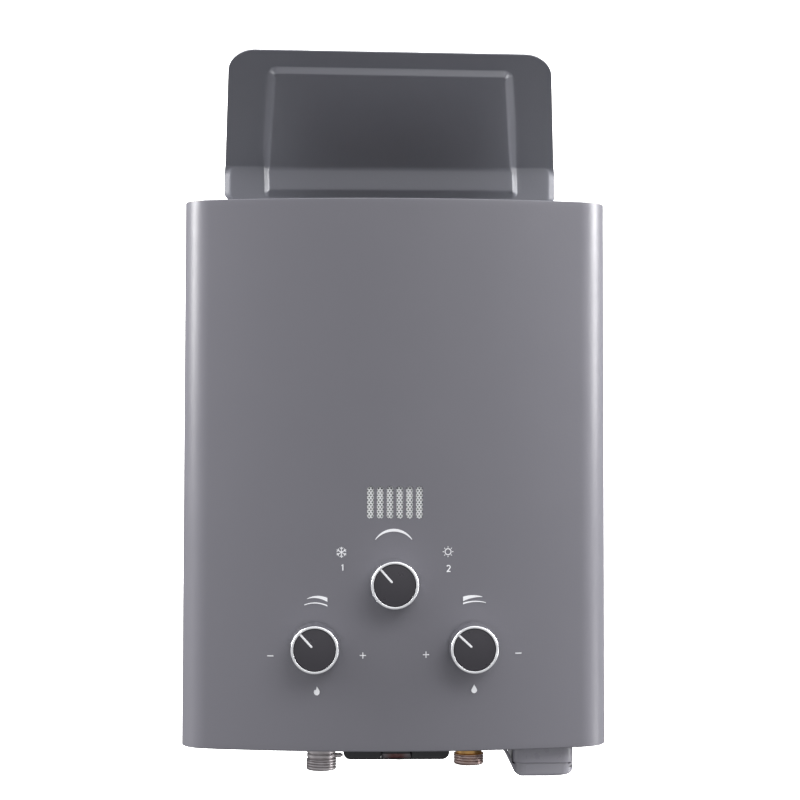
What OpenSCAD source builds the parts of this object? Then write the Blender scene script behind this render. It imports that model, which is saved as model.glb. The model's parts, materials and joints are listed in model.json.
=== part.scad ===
// Wall-hung portable gas water heater, as an assembly of separate pieces.
// Millimetres. +Z up, +X to the right seen from the front, the front faces -Y.
// Origin: centre of the four wall holes, on the rear face of the back plate.

/* [Casing] */
// Width of the casing
body_w = 290; // [280:1:310]
// Height of the casing
body_h = 371; // [360:1:390]
// Depth of the casing at the middle of the front
body_d = 127; // [122:1:140]
// How far the front face bows forward from the corner to the middle
bow = 14; // [8:1:18]
// Radius of the upright corners in plan
corner_r = 24; // [16:1:28]
// Sheet thickness of the front cover
sheet = 1; // [0.8:0.1:1.2]

/* [Rain hood] */
// Width of the riser of the hood
hood_w = 239.6; // [220:1:250]
// Width of the visor at its free edge
tip_w = 222; // [200:0.2:236]
// Sideways place of the hood on the deck
hood_x = -3.4; // [-6:0.2:6]
// Distance of the riser in front of the wall
hood_back = 22; // [18:1:26]
// Height of the bend above the deck
fold_h = 37.7; // [30:0.1:44]
// Length of the visor along its slope
visor_len = 103.6; // [90:0.1:110]
// Slope of the visor above level
visor_deg = 40.8; // [35:0.2:55]

/* [Controls] */
// Half distance between the two lower knobs
knob_x = 52.7; // [50:0.1:56]
// Height of the two lower knobs
knob_low_z = -116.0; // [-120:0.1:-112]
// Height of the upper knob
knob_top_z = -73.7; // [-78:0.1:-72]
// Radius of a knob at its base
knob_r = 16.7; // [16:0.05:18]
// Radius of a knob spindle
spindle_r = 3; // [2.5:0.1:3.5]

/* [Slots] */
// Number of sight slots
slot_n = 6; // [4:1:7]
// Pitch of the sight slots
slot_pitch = 6.55; // [6:0.05:8]
// Width of one slot
slot_w = 4.6; // [4:0.1:5]
// Height of one slot
slot_h = 21.8; // [16:0.1:28]
// Height of the middle of the slots
slot_z = -19.7; // [-30:0.1:0]

/* [Connections] */
// Half distance between the two water connections
water_x = 51.45; // [48:0.05:54]
// Distance of the water connections in front of the wall
water_y = 66; // [60:1:70]
// Outer radius of the half inch pipe thread
thread_r = 10.4775; // [10.4775:0.0001:10.4775]
// Outer radius of the flare thread of the gas connection
flare_r = 7.9375; // [7.9375:0.0001:7.9375]
// Spacing of the wall holes across
wall_x = 200; // [180:5:220]
// Spacing of the wall holes upright
wall_z = 330; // [300:5:340]

/* [Hidden] */
$fn = 48;

zt = body_h / 2;                 // top of the casing
zb = -body_h / 2;                // bottom of the casing
deck_t = 1.2;                    // thickness of deck, bottom plate and back plate
bow_a = body_w / 2 - corner_r;   // where the bow meets the corner
bow_R = (bow_a * bow_a + bow * bow) / (2 * bow);
corner_y = -body_d + bow_R - sqrt(pow(bow_R - corner_r, 2) - bow_a * bow_a);
bow_t = asin(bow_a / (bow_R - corner_r));
run = 0.05;                      // radial running clearance
hx_y = [-52, -68, -84];          // rows of the exchanger tube
hx_z = 118;
rod_y = -90;                     // axis of the push rod
rod_z = -138;
bat_x0 = 81.2; bat_x1 = 122.6; bat_y0 = -100; bat_y1 = -24;
lid_ax = 120.8; lid_az = -200.5; // hinge axis of the battery lid
hot_x = -water_x + 0.9; cold_x = water_x + 0.9;
gas_x = 4.2; gas_y = -30;
sw_x = 1.6; sw_y = -88;          // middle of the switch
sw_z = -189;                     // rocking axis of the switch

// front face of the casing at a given x
function front_y(x) = -body_d + bow_R - sqrt(bow_R * bow_R - x * x);

// plan outline of the casing, moved inwards by o, open at yb
function outline(o, yb) = concat(
  [[-(body_w / 2 - o), yb]],
  [for (i = [0:8]) let (t = 90 - (90 - bow_t) * i / 8)
    [-(bow_a + (corner_r - o) * sin(t)), corner_y - (corner_r - o) * cos(t)]],
  [for (i = [1:23]) let (t = bow_t - 2 * bow_t * i / 24)
    [-(bow_R - o) * sin(t), -body_d + bow_R - (bow_R - o) * cos(t)]],
  [for (i = [0:8]) let (t = bow_t + (90 - bow_t) * i / 8)
    [bow_a + (corner_r - o) * sin(t), corner_y - (corner_r - o) * cos(t)]],
  [[body_w / 2 - o, yb]]);

// points of an arc
function arc(cx, cy, r, a0, a1, n) = [for (i = [0:n]) let (a = a0 + (a1 - a0) * i / n) [cx + r * cos(a), cy + r * sin(a)]];

module slab(x0, x1, y0, y1, z0, z1) translate([x0, y0, z0]) cube([x1 - x0, y1 - y0, z1 - z0]);
// cylinders along an axis, from a to b
module cyl_x(a, b, y, z, r) translate([a, y, z]) rotate([0, 90, 0]) cylinder(r = r, h = b - a);
module cyl_y(a, b, x, z, r) translate([x, b, z]) rotate([90, 0, 0]) cylinder(r = r, h = b - a);
module cyl_z(a, b, x, y, r) translate([x, y, a]) cylinder(r = r, h = b - a);

// one quarter bend at p, from direction a to direction b
module bend(p, a, b, R, r) {
  c = p - R * a + R * b;
  x = -b; y = a; z = cross(x, y);
  multmatrix([[x[0], y[0], z[0], c[0]], [x[1], y[1], z[1], c[1]], [x[2], y[2], z[2], c[2]], [0, 0, 0, 1]])
    rotate_extrude(angle = 90) translate([R, 0]) circle(r = r, $fn = 32);
}
// straight round bar from p to q along one axis
module bar(p, q, r) {
  d = q - p;
  if (abs(d[0]) > 0.01) cyl_x(min(p[0], q[0]), max(p[0], q[0]), p[1], p[2], r);
  else if (abs(d[1]) > 0.01) cyl_y(min(p[1], q[1]), max(p[1], q[1]), p[0], p[2], r);
  else cyl_z(min(p[2], q[2]), max(p[2], q[2]), p[0], p[1], r);
}
// bent round bar along axis-aligned points
module bent(pts, R, r) {
  n = len(pts);
  for (i = [0:n - 2]) {
    d = (pts[i + 1] - pts[i]) / norm(pts[i + 1] - pts[i]);
    bar(pts[i] + d * (i == 0 ? 0 : R), pts[i + 1] - d * (i == n - 2 ? 0 : R), r);
  }
  for (i = [1:n - 2])
    bend(pts[i], (pts[i] - pts[i - 1]) / norm(pts[i] - pts[i - 1]), (pts[i + 1] - pts[i]) / norm(pts[i + 1] - pts[i]), R, r);
}

// ---- casing ----
module front_cover() color([0.42, 0.42, 0.45]) difference() {
  union() {
    translate([0, 0, zb]) linear_extrude(body_h) difference() {
      polygon(outline(0, -1.5));
      polygon(outline(sheet, 5));
    }
    for (z = [zb, zt - sheet]) translate([0, 0, z]) linear_extrude(sheet) intersection() {
      polygon(outline(sheet / 2, -1.5));
      translate([-200, -160]) square([400, 60]);
    }
  }
  for (i = [0:slot_n - 1]) let (x = (i - (slot_n - 1) / 2) * slot_pitch) {
    slab(x - slot_w / 2, x + slot_w / 2, -140, -110, slot_z - slot_h / 2 + slot_w / 2, slot_z + slot_h / 2 - slot_w / 2);
    for (s = [-1, 1]) cyl_y(-140, -110, x, slot_z + s * (slot_h - slot_w) / 2, slot_w / 2);
  }
  cyl_y(-140, -110, 0, knob_top_z, 5);
  for (s = [-1, 1]) cyl_y(-140, -110, s * knob_x, knob_low_z, 5);
  for (s = [-1, 1]) cyl_z(-200, 200, s * 90, -106, 2);
}

module perforated_screen() color([0.9, 0.9, 0.9]) difference() {
  slab(-23, 23, -125.1, -124.5, slot_z - 17, slot_z + 17);
  for (j = [0:8]) for (i = [-5:5])
    cyl_y(-127, -122, i * 3.375 + (j % 2) * 1.2, slot_z - 11.2 + j * 2.8, 0.7, $fn = 16);
}

module back_plate() color([0.62, 0.63, 0.64]) difference() {
  union() {
    slab(-body_w / 2 + 1.6, body_w / 2 - 1.6, -deck_t, 0, zb + 0.6, zt - 0.6);
    for (s = [-1, 1]) translate([s * (body_w / 2 - 2.2), 0, 0]) slab(-0.6, 0.6, -14, -deck_t + 0.1, zb + 2.4, zt - 2.4);
  }
  for (x = [-1, 1]) for (z = [-1, 1]) cyl_y(-10, 10, x * wall_x / 2, z * wall_z / 2, 3.25);
  cyl_y(-10, 10, 0, 164, 6);
  cyl_y(-10, 10, 0, 174, 3);
  slab(-3, 3, -10, 10, 164, 174);
}

module top_deck() color([0.6, 0.61, 0.62]) translate([0, 0, zt - sheet - deck_t]) difference() {
  linear_extrude(deck_t) polygon(outline(1.6, -deck_t));
  slab(-76.5, 76.5, -91, -37, -5, 5);
  for (s = [-1, 1]) cyl_z(-5, 5, s * 90, -106, 2);
  for (x = [-66, 4, 66]) cyl_z(-5, 5, hood_x + x, -13, 2);
}

module bottom_plate() color([0.6, 0.61, 0.62]) translate([0, 0, zb + sheet]) difference() {
  linear_extrude(deck_t) polygon(outline(1.6, -deck_t));
  slab(bat_x0 - 0.4, bat_x1 + 0.4, bat_y0 - 0.4, bat_y1 + 0.4, -5, 5);
  slab(sw_x - 9.8, sw_x + 9.8, sw_y - 6.8, sw_y + 6.8, -5, 5);
  cyl_z(-5, 5, hot_x, -water_y, 10.7);
  cyl_z(-5, 5, cold_x, -water_y, 10.7);
  cyl_z(-5, 5, gas_x, gas_y, 6.7);
  for (s = [-1, 1]) cyl_z(-5, 5, s * 90, -106, 2);
}

// ---- rain hood ----
fold_z = zt - sheet + fold_h;
hood_f = [-hood_back, fold_z];                       // bend line, front side, as [y, z]
visor_d = [-cos(visor_deg), sin(visor_deg)];         // along the visor, away from the bend
visor_n = [sin(visor_deg), cos(visor_deg)];          // normal of its upper side
visor_m = ([1, 0] + visor_n) / (1 + visor_n[0]);     // mitre at the bend
function vz(v) = fold_z + v * sin(visor_deg);        // height of a point v up the visor
// side section of the bent sheet
module hood_section() polygon([[-hood_back, zt - sheet], hood_f, hood_f + visor_len * visor_d,
  hood_f + visor_len * visor_d + 1.2 * visor_n, hood_f + 1.2 * visor_m, [-hood_back + 1.2, zt - sheet]]);
// side section of the pressed panel, standing proud towards the front
module panel_section() polygon([[-hood_back + 0.4, fold_z - 19], [-hood_back - 2.6, fold_z - 19], hood_f - 2.6 * visor_m,
  hood_f + 86 * visor_d - 2.6 * visor_n, hood_f + 86 * visor_d + 0.4 * visor_n, hood_f + 0.4 * visor_m]);
// the hood seen from the front
module hood_front() polygon(concat(
  arc(-hood_w / 2 + 7, zt + 12 + 7, 7, 180, 270, 6),
  [[-86, zt + 12], [-86, zt - 5], [86, zt - 5], [86, zt + 12]],
  arc(hood_w / 2 - 4, zt + 12 + 4, 4, 270, 360, 4),
  [[hood_w / 2, fold_z]],
  [for (p = arc(tip_w / 2 - 18, visor_len - 18, 18, 0, 90, 8)) [p[0], vz(p[1])]],
  [for (p = arc(-tip_w / 2 + 18, visor_len - 18, 18, 90, 180, 8)) [p[0], vz(p[1])]],
  [[-hood_w / 2, fold_z]]));
module rain_hood() color([0.38, 0.38, 0.41]) translate([hood_x, 0, 0]) difference() {
  union() {
    intersection() {
      rotate([90, 0, 90]) translate([0, 0, -150]) linear_extrude(300) hood_section();
      rotate([90, 0, 0]) linear_extrude(160) hood_front();
    }
    intersection() {
      rotate([90, 0, 90]) translate([0, 0, -150]) linear_extrude(300) panel_section();
      rotate([90, 0, 0]) linear_extrude(160)
        polygon([[-91.5, fold_z - 25], [91.5, fold_z - 25], [84, vz(95)], [-84, vz(95)]]);
    }
    slab(-86, 86, -hood_back, -5, zt - sheet, zt - sheet + 1.2);
  }
  for (x = [-66, 4, 66]) cyl_z(zt - 5, zt + 5, x, -13, 2);
}
module hood_screws() color([0.75, 0.75, 0.77]) for (x = [-66, 4, 66]) translate([hood_x, 0, 0]) {
  cyl_z(zt - sheet + 1.2, zt - sheet + 3.4, x, -13, 3.8);
  cyl_z(zt - 6, zt - sheet + 1.3, x, -13, 1.9);
}
module cover_screws() color([0.75, 0.75, 0.77]) for (s = [-1, 1]) {
  cyl_z(zt, zt + 1.2, s * 90, -106, 3.5);
  cyl_z(zt - 7, zt + 0.1, s * 90, -106, 1.9);
  cyl_z(zb - 1.2, zb, s * 90, -106, 3.5);
  cyl_z(zb - 0.1, zb + 7, s * 90, -106, 1.9);
}

// ---- flue, exchanger, burner ----
module tray(x, y0, y1, z0, z1, t) difference() {
  slab(-x, x, y0, y1, z0, z1);
  slab(-x + t, x - t, y0 + t, y1 - t, z0 - 1, z1 + 1);
}
module flue_collar() color([0.7, 0.7, 0.72]) {
  tray(76, -90.5, -37.5, 149, zt + 4, 0.8);
}
module combustion_chamber() color([0.72, 0.45, 0.3]) difference() {
  union() {
    tray(78, -94, -36, -8, 148, 1);
    // lip under the flue collar
    difference() {
      slab(-77.5, 77.5, -93.5, -36.5, 148, 149);
      slab(-75.2, 75.2, -89.7, -38.3, 147, 150);
    }
    for (s = [-1, 1]) for (z = [2, 136]) slab(s * 50 - 10, s * 50 + 10, -36.1, -deck_t, z, z + 1.2);
  }
  for (y = hx_y) cyl_x(-90, 90, y, hx_z, 5.3);
}
module heat_exchanger_fins() color([0.75, 0.45, 0.3]) for (i = [0:21]) let (x = (i - 10.5) * 6.6) difference() {
  slab(x - 0.25, x + 0.25, -92.8, -37.2, 100, 136);
  for (y = hx_y) cyl_x(x - 1, x + 1, y, hx_z, 5.02);
}
// serpentine of three straight runs and two return bends
module serpentine(r) {
  for (y = hx_y) cyl_x(y == -84 ? -92 : -84, y == -52 ? 92 : 84, y, hx_z, r);
  translate([-84, -60, hx_z]) rotate([0, 0, 90]) rotate_extrude(angle = 180) translate([8, 0]) circle(r = r, $fn = 32);
  translate([84, -76, hx_z]) rotate([0, 0, -90]) rotate_extrude(angle = 180) translate([8, 0]) circle(r = r, $fn = 32);
}
module heat_exchanger_tube() color([0.75, 0.45, 0.3]) difference() { serpentine(5); serpentine(4); }
module burner_frame() color([0.66, 0.67, 0.68]) {
  tray(76.2, -96.2, -33.8, -36, -18, 1.2);
  for (s = [-1, 1]) slab(s * 60 - 8, s * 60 + 8, -33.9, -deck_t, -30, -28.8);
}
module burner_bars() color([0.8, 0.8, 0.78]) for (i = [0:7]) let (x = -63 + i * 18) difference() {
  union() {
    slab(x - 6, x + 6, -95, -35, -38, -12);
    slab(x - 3, x + 3, -90, -50, -50, -37.9);
    cyl_y(-96, -56, x, -52, 5.5);
  }
  slab(x - 5.2, x + 5.2, -94.2, -35.8, -37.2, -12.8);
  slab(x - 2.2, x + 2.2, -89.2, -60, -52, -37);
  for (j = [0:5]) slab(x - 4.5, x + 4.5, -88 + j * 9, -86.6 + j * 9, -13.5, -10);
  cyl_y(-97, -60, x, -52, 4);
}
module gas_manifold() color([0.78, 0.79, 0.8]) difference() {
  slab(-74, 74, -114, -104, -58, -46);
  cyl_x(-70, 75, -109, -52, 3.5);
  for (i = [0:7]) cyl_y(-109, -100, -63 + i * 18, -52, 1.6);
}
module burner_jets() color([0.8, 0.62, 0.3]) for (i = [0:7]) let (x = -63 + i * 18) difference() {
  union() { cyl_y(-104, -99, x, -52, 2.9); cyl_y(-107, -103.9, x, -52, 1.55); }
  cyl_y(-120, -90, x, -52, 0.5);
}

// ---- valves ----
module spindle_bore(x, z, y0, y1) cyl_y(y0, y1, x, z, spindle_r + run);
module season_valve_body() color([0.7, 0.7, 0.7]) difference() {
  union() {
    slab(-14, 14, -114, -84, -86, -62);
    slab(-5, 5, -113, -105, -62.1, -58);
    cyl_y(-119, -113.9, 0, knob_top_z, 8);
  }
  spindle_bore(0, knob_top_z, -120, -90);
}
module gas_valve_body() color([0.7, 0.7, 0.7]) difference() {
  union() {
    slab(-75, -31, -108, -74, -150, -95);
    slab(-60, -44, -74.1, -46, -110, -98);
    cyl_y(-116, -107.9, -knob_x, knob_low_z, 9);
  }
  spindle_bore(-knob_x, knob_low_z, -117, -84);
  cyl_x(-64, -30, rod_y, rod_z, 2 + run);
}
module solenoid_valve() color([0.25, 0.3, 0.55]) {
  cyl_z(-95, -72, -62, -91, 11);
  slab(-70, -54, -99, -83, -72.1, -69);
}
module water_valve_body() color([0.8, 0.62, 0.35]) difference() {
  union() {
    slab(36, 76, -104, -46, -150, -98);
    cyl_x(28, 36.1, rod_y, rod_z, 25);
    cyl_y(-116, -103.9, knob_x, knob_low_z, 9);
    cyl_z(-176, -149.9, cold_x, -water_y, 11);
  }
  cyl_x(27, 33, rod_y, rod_z, 20);
  spindle_bore(knob_x, knob_low_z, -117, -88);
  cyl_z(-177, -151, cold_x, -water_y, 8);
  // water way from the inlet to the exchanger pipe
  slab(44, 70, -88, -52, -142, -106);
  cyl_z(-152, -141, cold_x, -water_y, 6);
  cyl_x(69, 77, -52, -106, 4.5);
  for (a = [0:5]) cyl_x(26, 34, rod_y + 22.4 * cos(a * 60 + 30), rod_z + 22.4 * sin(a * 60 + 30), 1.5);
}
module diaphragm() color([0.15, 0.15, 0.15]) difference() {
  cyl_x(26.5, 28, rod_y, rod_z, 25);
  for (a = [0:5]) cyl_x(26, 34, rod_y + 22.4 * cos(a * 60 + 30), rod_z + 22.4 * sin(a * 60 + 30), 1.6);
}
module diaphragm_cover() color([0.75, 0.75, 0.76]) difference() {
  union() { cyl_x(18.5, 26.5, rod_y, rod_z, 25); cyl_x(10, 18.6, rod_y, rod_z, 6); }
  cyl_x(20.5, 27, rod_y, rod_z, 20);
  cyl_x(9, 21, rod_y, rod_z, 2 + run);
  for (a = [0:5]) cyl_x(16, 34, rod_y + 22.4 * cos(a * 60 + 30), rod_z + 22.4 * sin(a * 60 + 30), 1.6);
}
module diaphragm_screws() color([0.6, 0.6, 0.62]) for (a = [0:5])
  let (y = rod_y + 22.4 * cos(a * 60 + 30), z = rod_z + 22.4 * sin(a * 60 + 30)) {
    cyl_x(16.3, 18.5, y, z, 2.5);
    cyl_x(18.4, 33, y, z, 1.45);
  }
module push_rod() color([0.8, 0.8, 0.82]) {
  cyl_x(-58, 25, rod_y, rod_z, 2);
  cyl_x(24.7, 26.2, rod_y, rod_z, 8);
  cyl_x(-11.7, -9, rod_y, rod_z, 4.5);
}
// return spring drawn as a stack of plain rings between valve face and collar
module push_rod_spring() color([0.7, 0.7, 0.72]) difference() {
  cyl_x(-30.7, -13.6, rod_y, rod_z, 3.6);
  cyl_x(-31, -13, rod_y, rod_z, 2.8);
  for (i = [0:4]) slab(-28.6 + i * 3, -27.2 + i * 3, rod_y - 5, rod_y + 5, rod_z - 0.2, rod_z + 5);
}
module microswitch() color([0.2, 0.2, 0.22]) difference() {
  union() {
    slab(-16, 4, -94, -86, -126, -115);
    for (y = [-94, -87]) slab(-14.5, -10.5, y, y + 1, -129, -125.9);
  }
  cyl_y(-95, -85, -12.5, -127.5, 0.8 + run, $fn = 24);
}
module microswitch_lever() color([0.85, 0.85, 0.87]) {
  cyl_y(-94, -86, -12.5, -127.5, 0.8, $fn = 24);
  slab(-12.9, -12.1, -92.6, -87.4, -134.3, -127.5);
}
module valve_bracket() color([0.65, 0.66, 0.67]) {
  slab(-74, 74, -46, -44.5, -112, -98);
  for (s = [-1, 1]) translate([s * 73.25, 0, 0]) slab(-0.75, 0.75, -44.6, -deck_t, -112, -98);
  slab(-2, 2, -86, -44.6, -118, -111);
}

// ---- connections ----
module hot_outlet_fitting() color([0.75, 0.74, 0.72]) difference() {
  union() {
    cyl_z(-206.5, -199.9, hot_x, -water_y, thread_r);
    translate([hot_x, -water_y, -207.3]) cylinder(r1 = thread_r - 0.8, r2 = thread_r, h = 0.8);
    cyl_z(-200, -193, hot_x, -water_y, 9.25);
    cyl_z(-193.1, -177, hot_x, -water_y, 10.4);
    cyl_z(-187, zb + sheet, hot_x, -water_y, 13);
  }
  cyl_z(-210, -176, hot_x, -water_y, 7);
  cyl_x(hot_x + 6.5, hot_x + 12, -water_y, -197.7, 1.65);
}
module drain_plug() color([0.7, 0.7, 0.7]) {
  cyl_x(hot_x + 7.6, hot_x + 13.6, -water_y, -197.7, 1.6);
  cyl_x(hot_x + 12.9, hot_x + 15, -water_y, -197.7, 1.2);
}
module cold_inlet_fitting() color([0.8, 0.62, 0.35]) difference() {
  union() {
    cyl_z(-203.1, -196.4, cold_x, -water_y, thread_r);
    translate([cold_x, -water_y, -203.9]) cylinder(r1 = thread_r - 0.8, r2 = thread_r, h = 0.8);
    cyl_z(-196.5, -193.5, cold_x, -water_y, 9.1);
    cyl_z(-193.6, -176, cold_x, -water_y, 10.4);
    cyl_z(-187, zb + sheet, cold_x, -water_y, 13);
  }
  cyl_z(-210, -170, cold_x, -water_y, 7.4);
}
module inlet_filter() color([0.85, 0.85, 0.87]) difference() {
  cyl_z(-175.8, -153, cold_x, -water_y, 7.6);
  cyl_z(-177, -154, cold_x, -water_y, 6.8);
}
module gas_inlet_fitting() color([0.7, 0.5, 0.32]) difference() {
  union() {
    cyl_z(-204.6, -191.9, gas_x, gas_y, flare_r);
    translate([gas_x, gas_y, -206.6]) cylinder(r1 = 5, r2 = 7, h = 2);
    cyl_z(-192, zb + sheet, gas_x, gas_y, 10);
    cyl_z(zb + 0.9, -178, gas_x, gas_y, 6.5);
  }
  cyl_z(-210, -170, gas_x, gas_y, 3.6);
}
module fitting_nuts() color([0.8, 0.68, 0.42]) {
  for (x = [hot_x, cold_x]) translate([x, -water_y, zb + sheet + deck_t]) difference() {
    cylinder(r = 16.5, h = 4.6, $fn = 6);
    translate([0, 0, -1]) cylinder(r = 10.45, h = 8);
  }
  translate([gas_x, gas_y, zb + sheet + deck_t]) difference() {
    cylinder(r = 11, h = 4, $fn = 6);
    translate([0, 0, -1]) cylinder(r = 6.55, h = 8);
  }
}
module hot_water_pipe() color([0.75, 0.45, 0.3]) {
  p = [[-92, -84, hx_z], [-104, -84, hx_z], [-104, -84, -165], [-104, -water_y, -165], [hot_x, -water_y, -165], [hot_x, -water_y, -177]];
  difference() { bent(p, 8, 5.5); bent(p, 8, 4.5); cyl_x(-92.5, -91, -84, hx_z, 4.5); }
}
module cold_water_pipe() color([0.75, 0.45, 0.3]) {
  p = [[92, -52, hx_z], [104, -52, hx_z], [104, -52, -106], [76, -52, -106]];
  difference() { bent(p, 8, 5.5); bent(p, 8, 4.5); }
}
module gas_pipe() color([0.78, 0.78, 0.79]) {
  p = [[gas_x, gas_y, -178], [gas_x, gas_y, -160.5], [-20, gas_y, -160.5], [-20, -92, -160.5], [-53, -92, -160.5], [-53, -92, -150]];
  difference() { bent(p, 8, 4.5); bent(p, 8, 3.6); }
  q = [[-31, -98, -104], [-22, -98, -104], [-22, -98, -74], [-14, -98, -74]];
  difference() { bent(q, 6, 3.5); bent(q, 6, 2.7); }
}

// ---- ignition ----
module ignition_controller() color([0.16, 0.17, 0.18]) {
  slab(-140, -114, -66, -20, 0, 90);
  slab(-136, -118, -20.1, -deck_t, 12, 16);
  slab(-136, -118, -20.1, -deck_t, 74, 78);
  for (z = [30, 44, 58]) slab(-114.1, -111, -56, -44, z - 4, z + 4);
}
module electrode(s) {
  cyl_z(-4, 18, s * 30, -99, 2.2);
  slab(s * 30 - 5, s * 30 + 5, -99.8, -94, 2, 7);
  slab(s * 30 - 0.7, s * 30 + 0.7, -99.7, -98.3, -11, -3.9);
  slab(s * 30 - 0.7, s * 30 + 0.7, -99.7, -78, -11.4, -10);
}
module spark_electrode() color([0.93, 0.92, 0.88]) electrode(-1);
module flame_sensor() color([0.9, 0.89, 0.86]) electrode(1);
module spark_lead() color([0.7, 0.2, 0.15])
  bent([[-111, -50, 30], [-88, -50, 30], [-88, -99, 30], [-30, -99, 30], [-30, -99, 18]], 6, 1.4);
module limit_thermostat() color([0.85, 0.85, 0.86]) difference() {
  union() { cyl_z(55, 65, -104, -84, 7); slab(-97.5, -92, -90, -78, 55, 65); cyl_x(-92.1, -88, -84, 60, 4.5); }
  cyl_z(50, 70, -104, -84, 5.52);
}

// ---- battery compartment ----
module battery_box() color([0.36, 0.37, 0.39]) difference() {
  union() {
    slab(bat_x0, bat_x1, bat_y0, bat_y1, -198, -129);
    difference() {
      slab(bat_x0 - 2, bat_x1 + 2, bat_y0 - 2, bat_y1 + 2, zb + sheet + deck_t, zb + sheet + deck_t + 1.8);
      slab(bat_x0 + 1, bat_x1 - 1, bat_y0 + 1, bat_y1 - 1, -190, -170);
    }
    for (y = [-90, -40]) {
      slab(lid_ax - 1.8, bat_x1, y, y + 5, lid_az, -197.9);
      cyl_y(y, y + 5, lid_ax, lid_az, 1.8);
    }
  }
  slab(bat_x0 + 1.6, bat_x1 - 1.6, bat_y0 + 1.6, bat_y1 - 1.6, -198.1, -131);
  for (y = [-90, -40]) {
    slab(lid_ax - 6, bat_x1 - 1.6, y - 1, y + 6, -198.1, -197.8);
    cyl_y(y - 1, y + 6, lid_ax, lid_az, 1.02);
  }
}
module batteries() color([0.75, 0.6, 0.3]) for (y = [-79.2, -44.8]) {
  cyl_z(-194.5, -135.5, 101.3, y, 16.6);
  cyl_z(-135.6, -133.2, 101.3, y, 4.5);
}
module battery_contacts() color([0.85, 0.85, 0.88]) {
  for (y = [-79.2, -44.8]) slab(94, 108.6, y - 6, y + 6, -132, -131);
  for (y = [-79.2, -44.8]) cyl_z(-133.2, -131.9, 101.3, y, 3);
}
module lid_section() difference() {
  union() {
    translate([bat_x0 + 1.1, -207]) square([lid_ax - bat_x0 - 1.1, 8.3]);
    translate([lid_ax, lid_az]) circle(r = 1.8, $fn = 48);
    translate([lid_ax - 0.1, -205]) square([1.9, 4.5]);
    polygon([[lid_ax - 0.1, -207], [lid_ax + 0.4, -207], [lid_ax + 1.2, -206.4], [lid_ax + 1.8, -205.2], [lid_ax + 1.8, -204.9], [lid_ax - 0.1, -204.9]]);
  }
  polygon([[bat_x0 + 1, -207.1], [bat_x0 + 3, -207.1], [bat_x0 + 1, -205]]);
}
module battery_lid() color([0.42, 0.43, 0.45]) difference() {
  union() {
    translate([0, bat_y1, 0]) rotate([90, 0, 0]) linear_extrude(bat_y1 - bat_y0) lid_section();
    // latch arm, standing clear of the box wall
    translate([0, -78, 0]) rotate([90, 0, 0]) linear_extrude(16)
      polygon([[bat_x0 + 1.2, -206], [bat_x0 + 0.3, -204.6], [79.3, -198.2], [74.6, -189.2], [76.2, -188.8], [80.7, -196.8], [80.7, -198.6], [bat_x0 + 1.2, -199.4]]);
  }
  slab(bat_x0 + 2.7, lid_ax - 3.2, bat_y0 + 1.6, bat_y1 - 1.6, -205.4, -198);
  for (y = [-90, -40]) slab(lid_ax - 3.3, lid_ax + 5, y - 0.4, y + 5.4, -203, -198);
  cyl_y(-94.5, -30.5, lid_ax, lid_az, 1.05);
}
module lid_hinge_pin() color([0.8, 0.8, 0.82]) cyl_y(-94, -31, lid_ax, lid_az, 1);

// ---- switch ----
module switch_plate() color([0.06, 0.06, 0.07]) difference() {
  translate([sw_x, -70, 0]) rotate([90, 0, 0]) linear_extrude(28) polygon(concat(
    [[-36.2, zb + sheet], [-36.2, -190]],
    arc(-36.2 + 5, -190, 5, 180, 270, 6),
    arc(36.2 - 5, -190, 5, 270, 360, 6),
    [[36.2, -190], [36.2, zb + sheet]]));
  slab(sw_x - 11.2, sw_x + 11.2, -99, sw_y + 8.2, -200, -190);
  slab(sw_x - 9.6, sw_x + 9.6, sw_y - 6.5, sw_y + 6.5, -191, -180);
}
module switch_housing() color([0.08, 0.08, 0.09]) translate([sw_x, 0, 0]) difference() {
  union() {
    slab(-10.5, 10.5, sw_y - 7.5, sw_y + 7.5, -192, -190);
    slab(-9.5, 9.5, sw_y - 6.4, sw_y + 6.4, -190.1, -172);
    for (x = [-6, 0, 6]) slab(x - 0.4, x + 0.4, sw_y - 2.4, sw_y + 2.4, -172.1, -165);
  }
  slab(-8.8, 8.8, sw_y - 5.8, sw_y + 5.8, -193, -181);
  cyl_y(sw_y - 6.5, sw_y + 6.5, 0, sw_z, 1 + run, $fn = 24);
}
module switch_rocker() color([0.75, 0.1, 0.08]) translate([sw_x, sw_y, sw_z]) rotate([0, 9, 0]) {
  translate([0, 5.4, 0]) rotate([90, 0, 0]) linear_extrude(10.8)
    polygon([[-8, -3.4], [-4, -2.1], [0, -1.6], [4, -2.1], [8, -3.4], [7.4, 1.5], [-7.4, 1.5]]);
  cyl_y(-6.3, 6.3, 0, 0, 1, $fn = 24);
}
module switch_rain_cover() color([0.8, 0.8, 0.82, 0.5]) translate([sw_x, 0, 0]) difference() {
  slab(-10.5, 10.5, sw_y - 7.5, sw_y + 7.5, -195.6, -192);
  slab(-9.6, 9.6, sw_y - 6.6, sw_y + 6.6, -194.8, -191);
}

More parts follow.
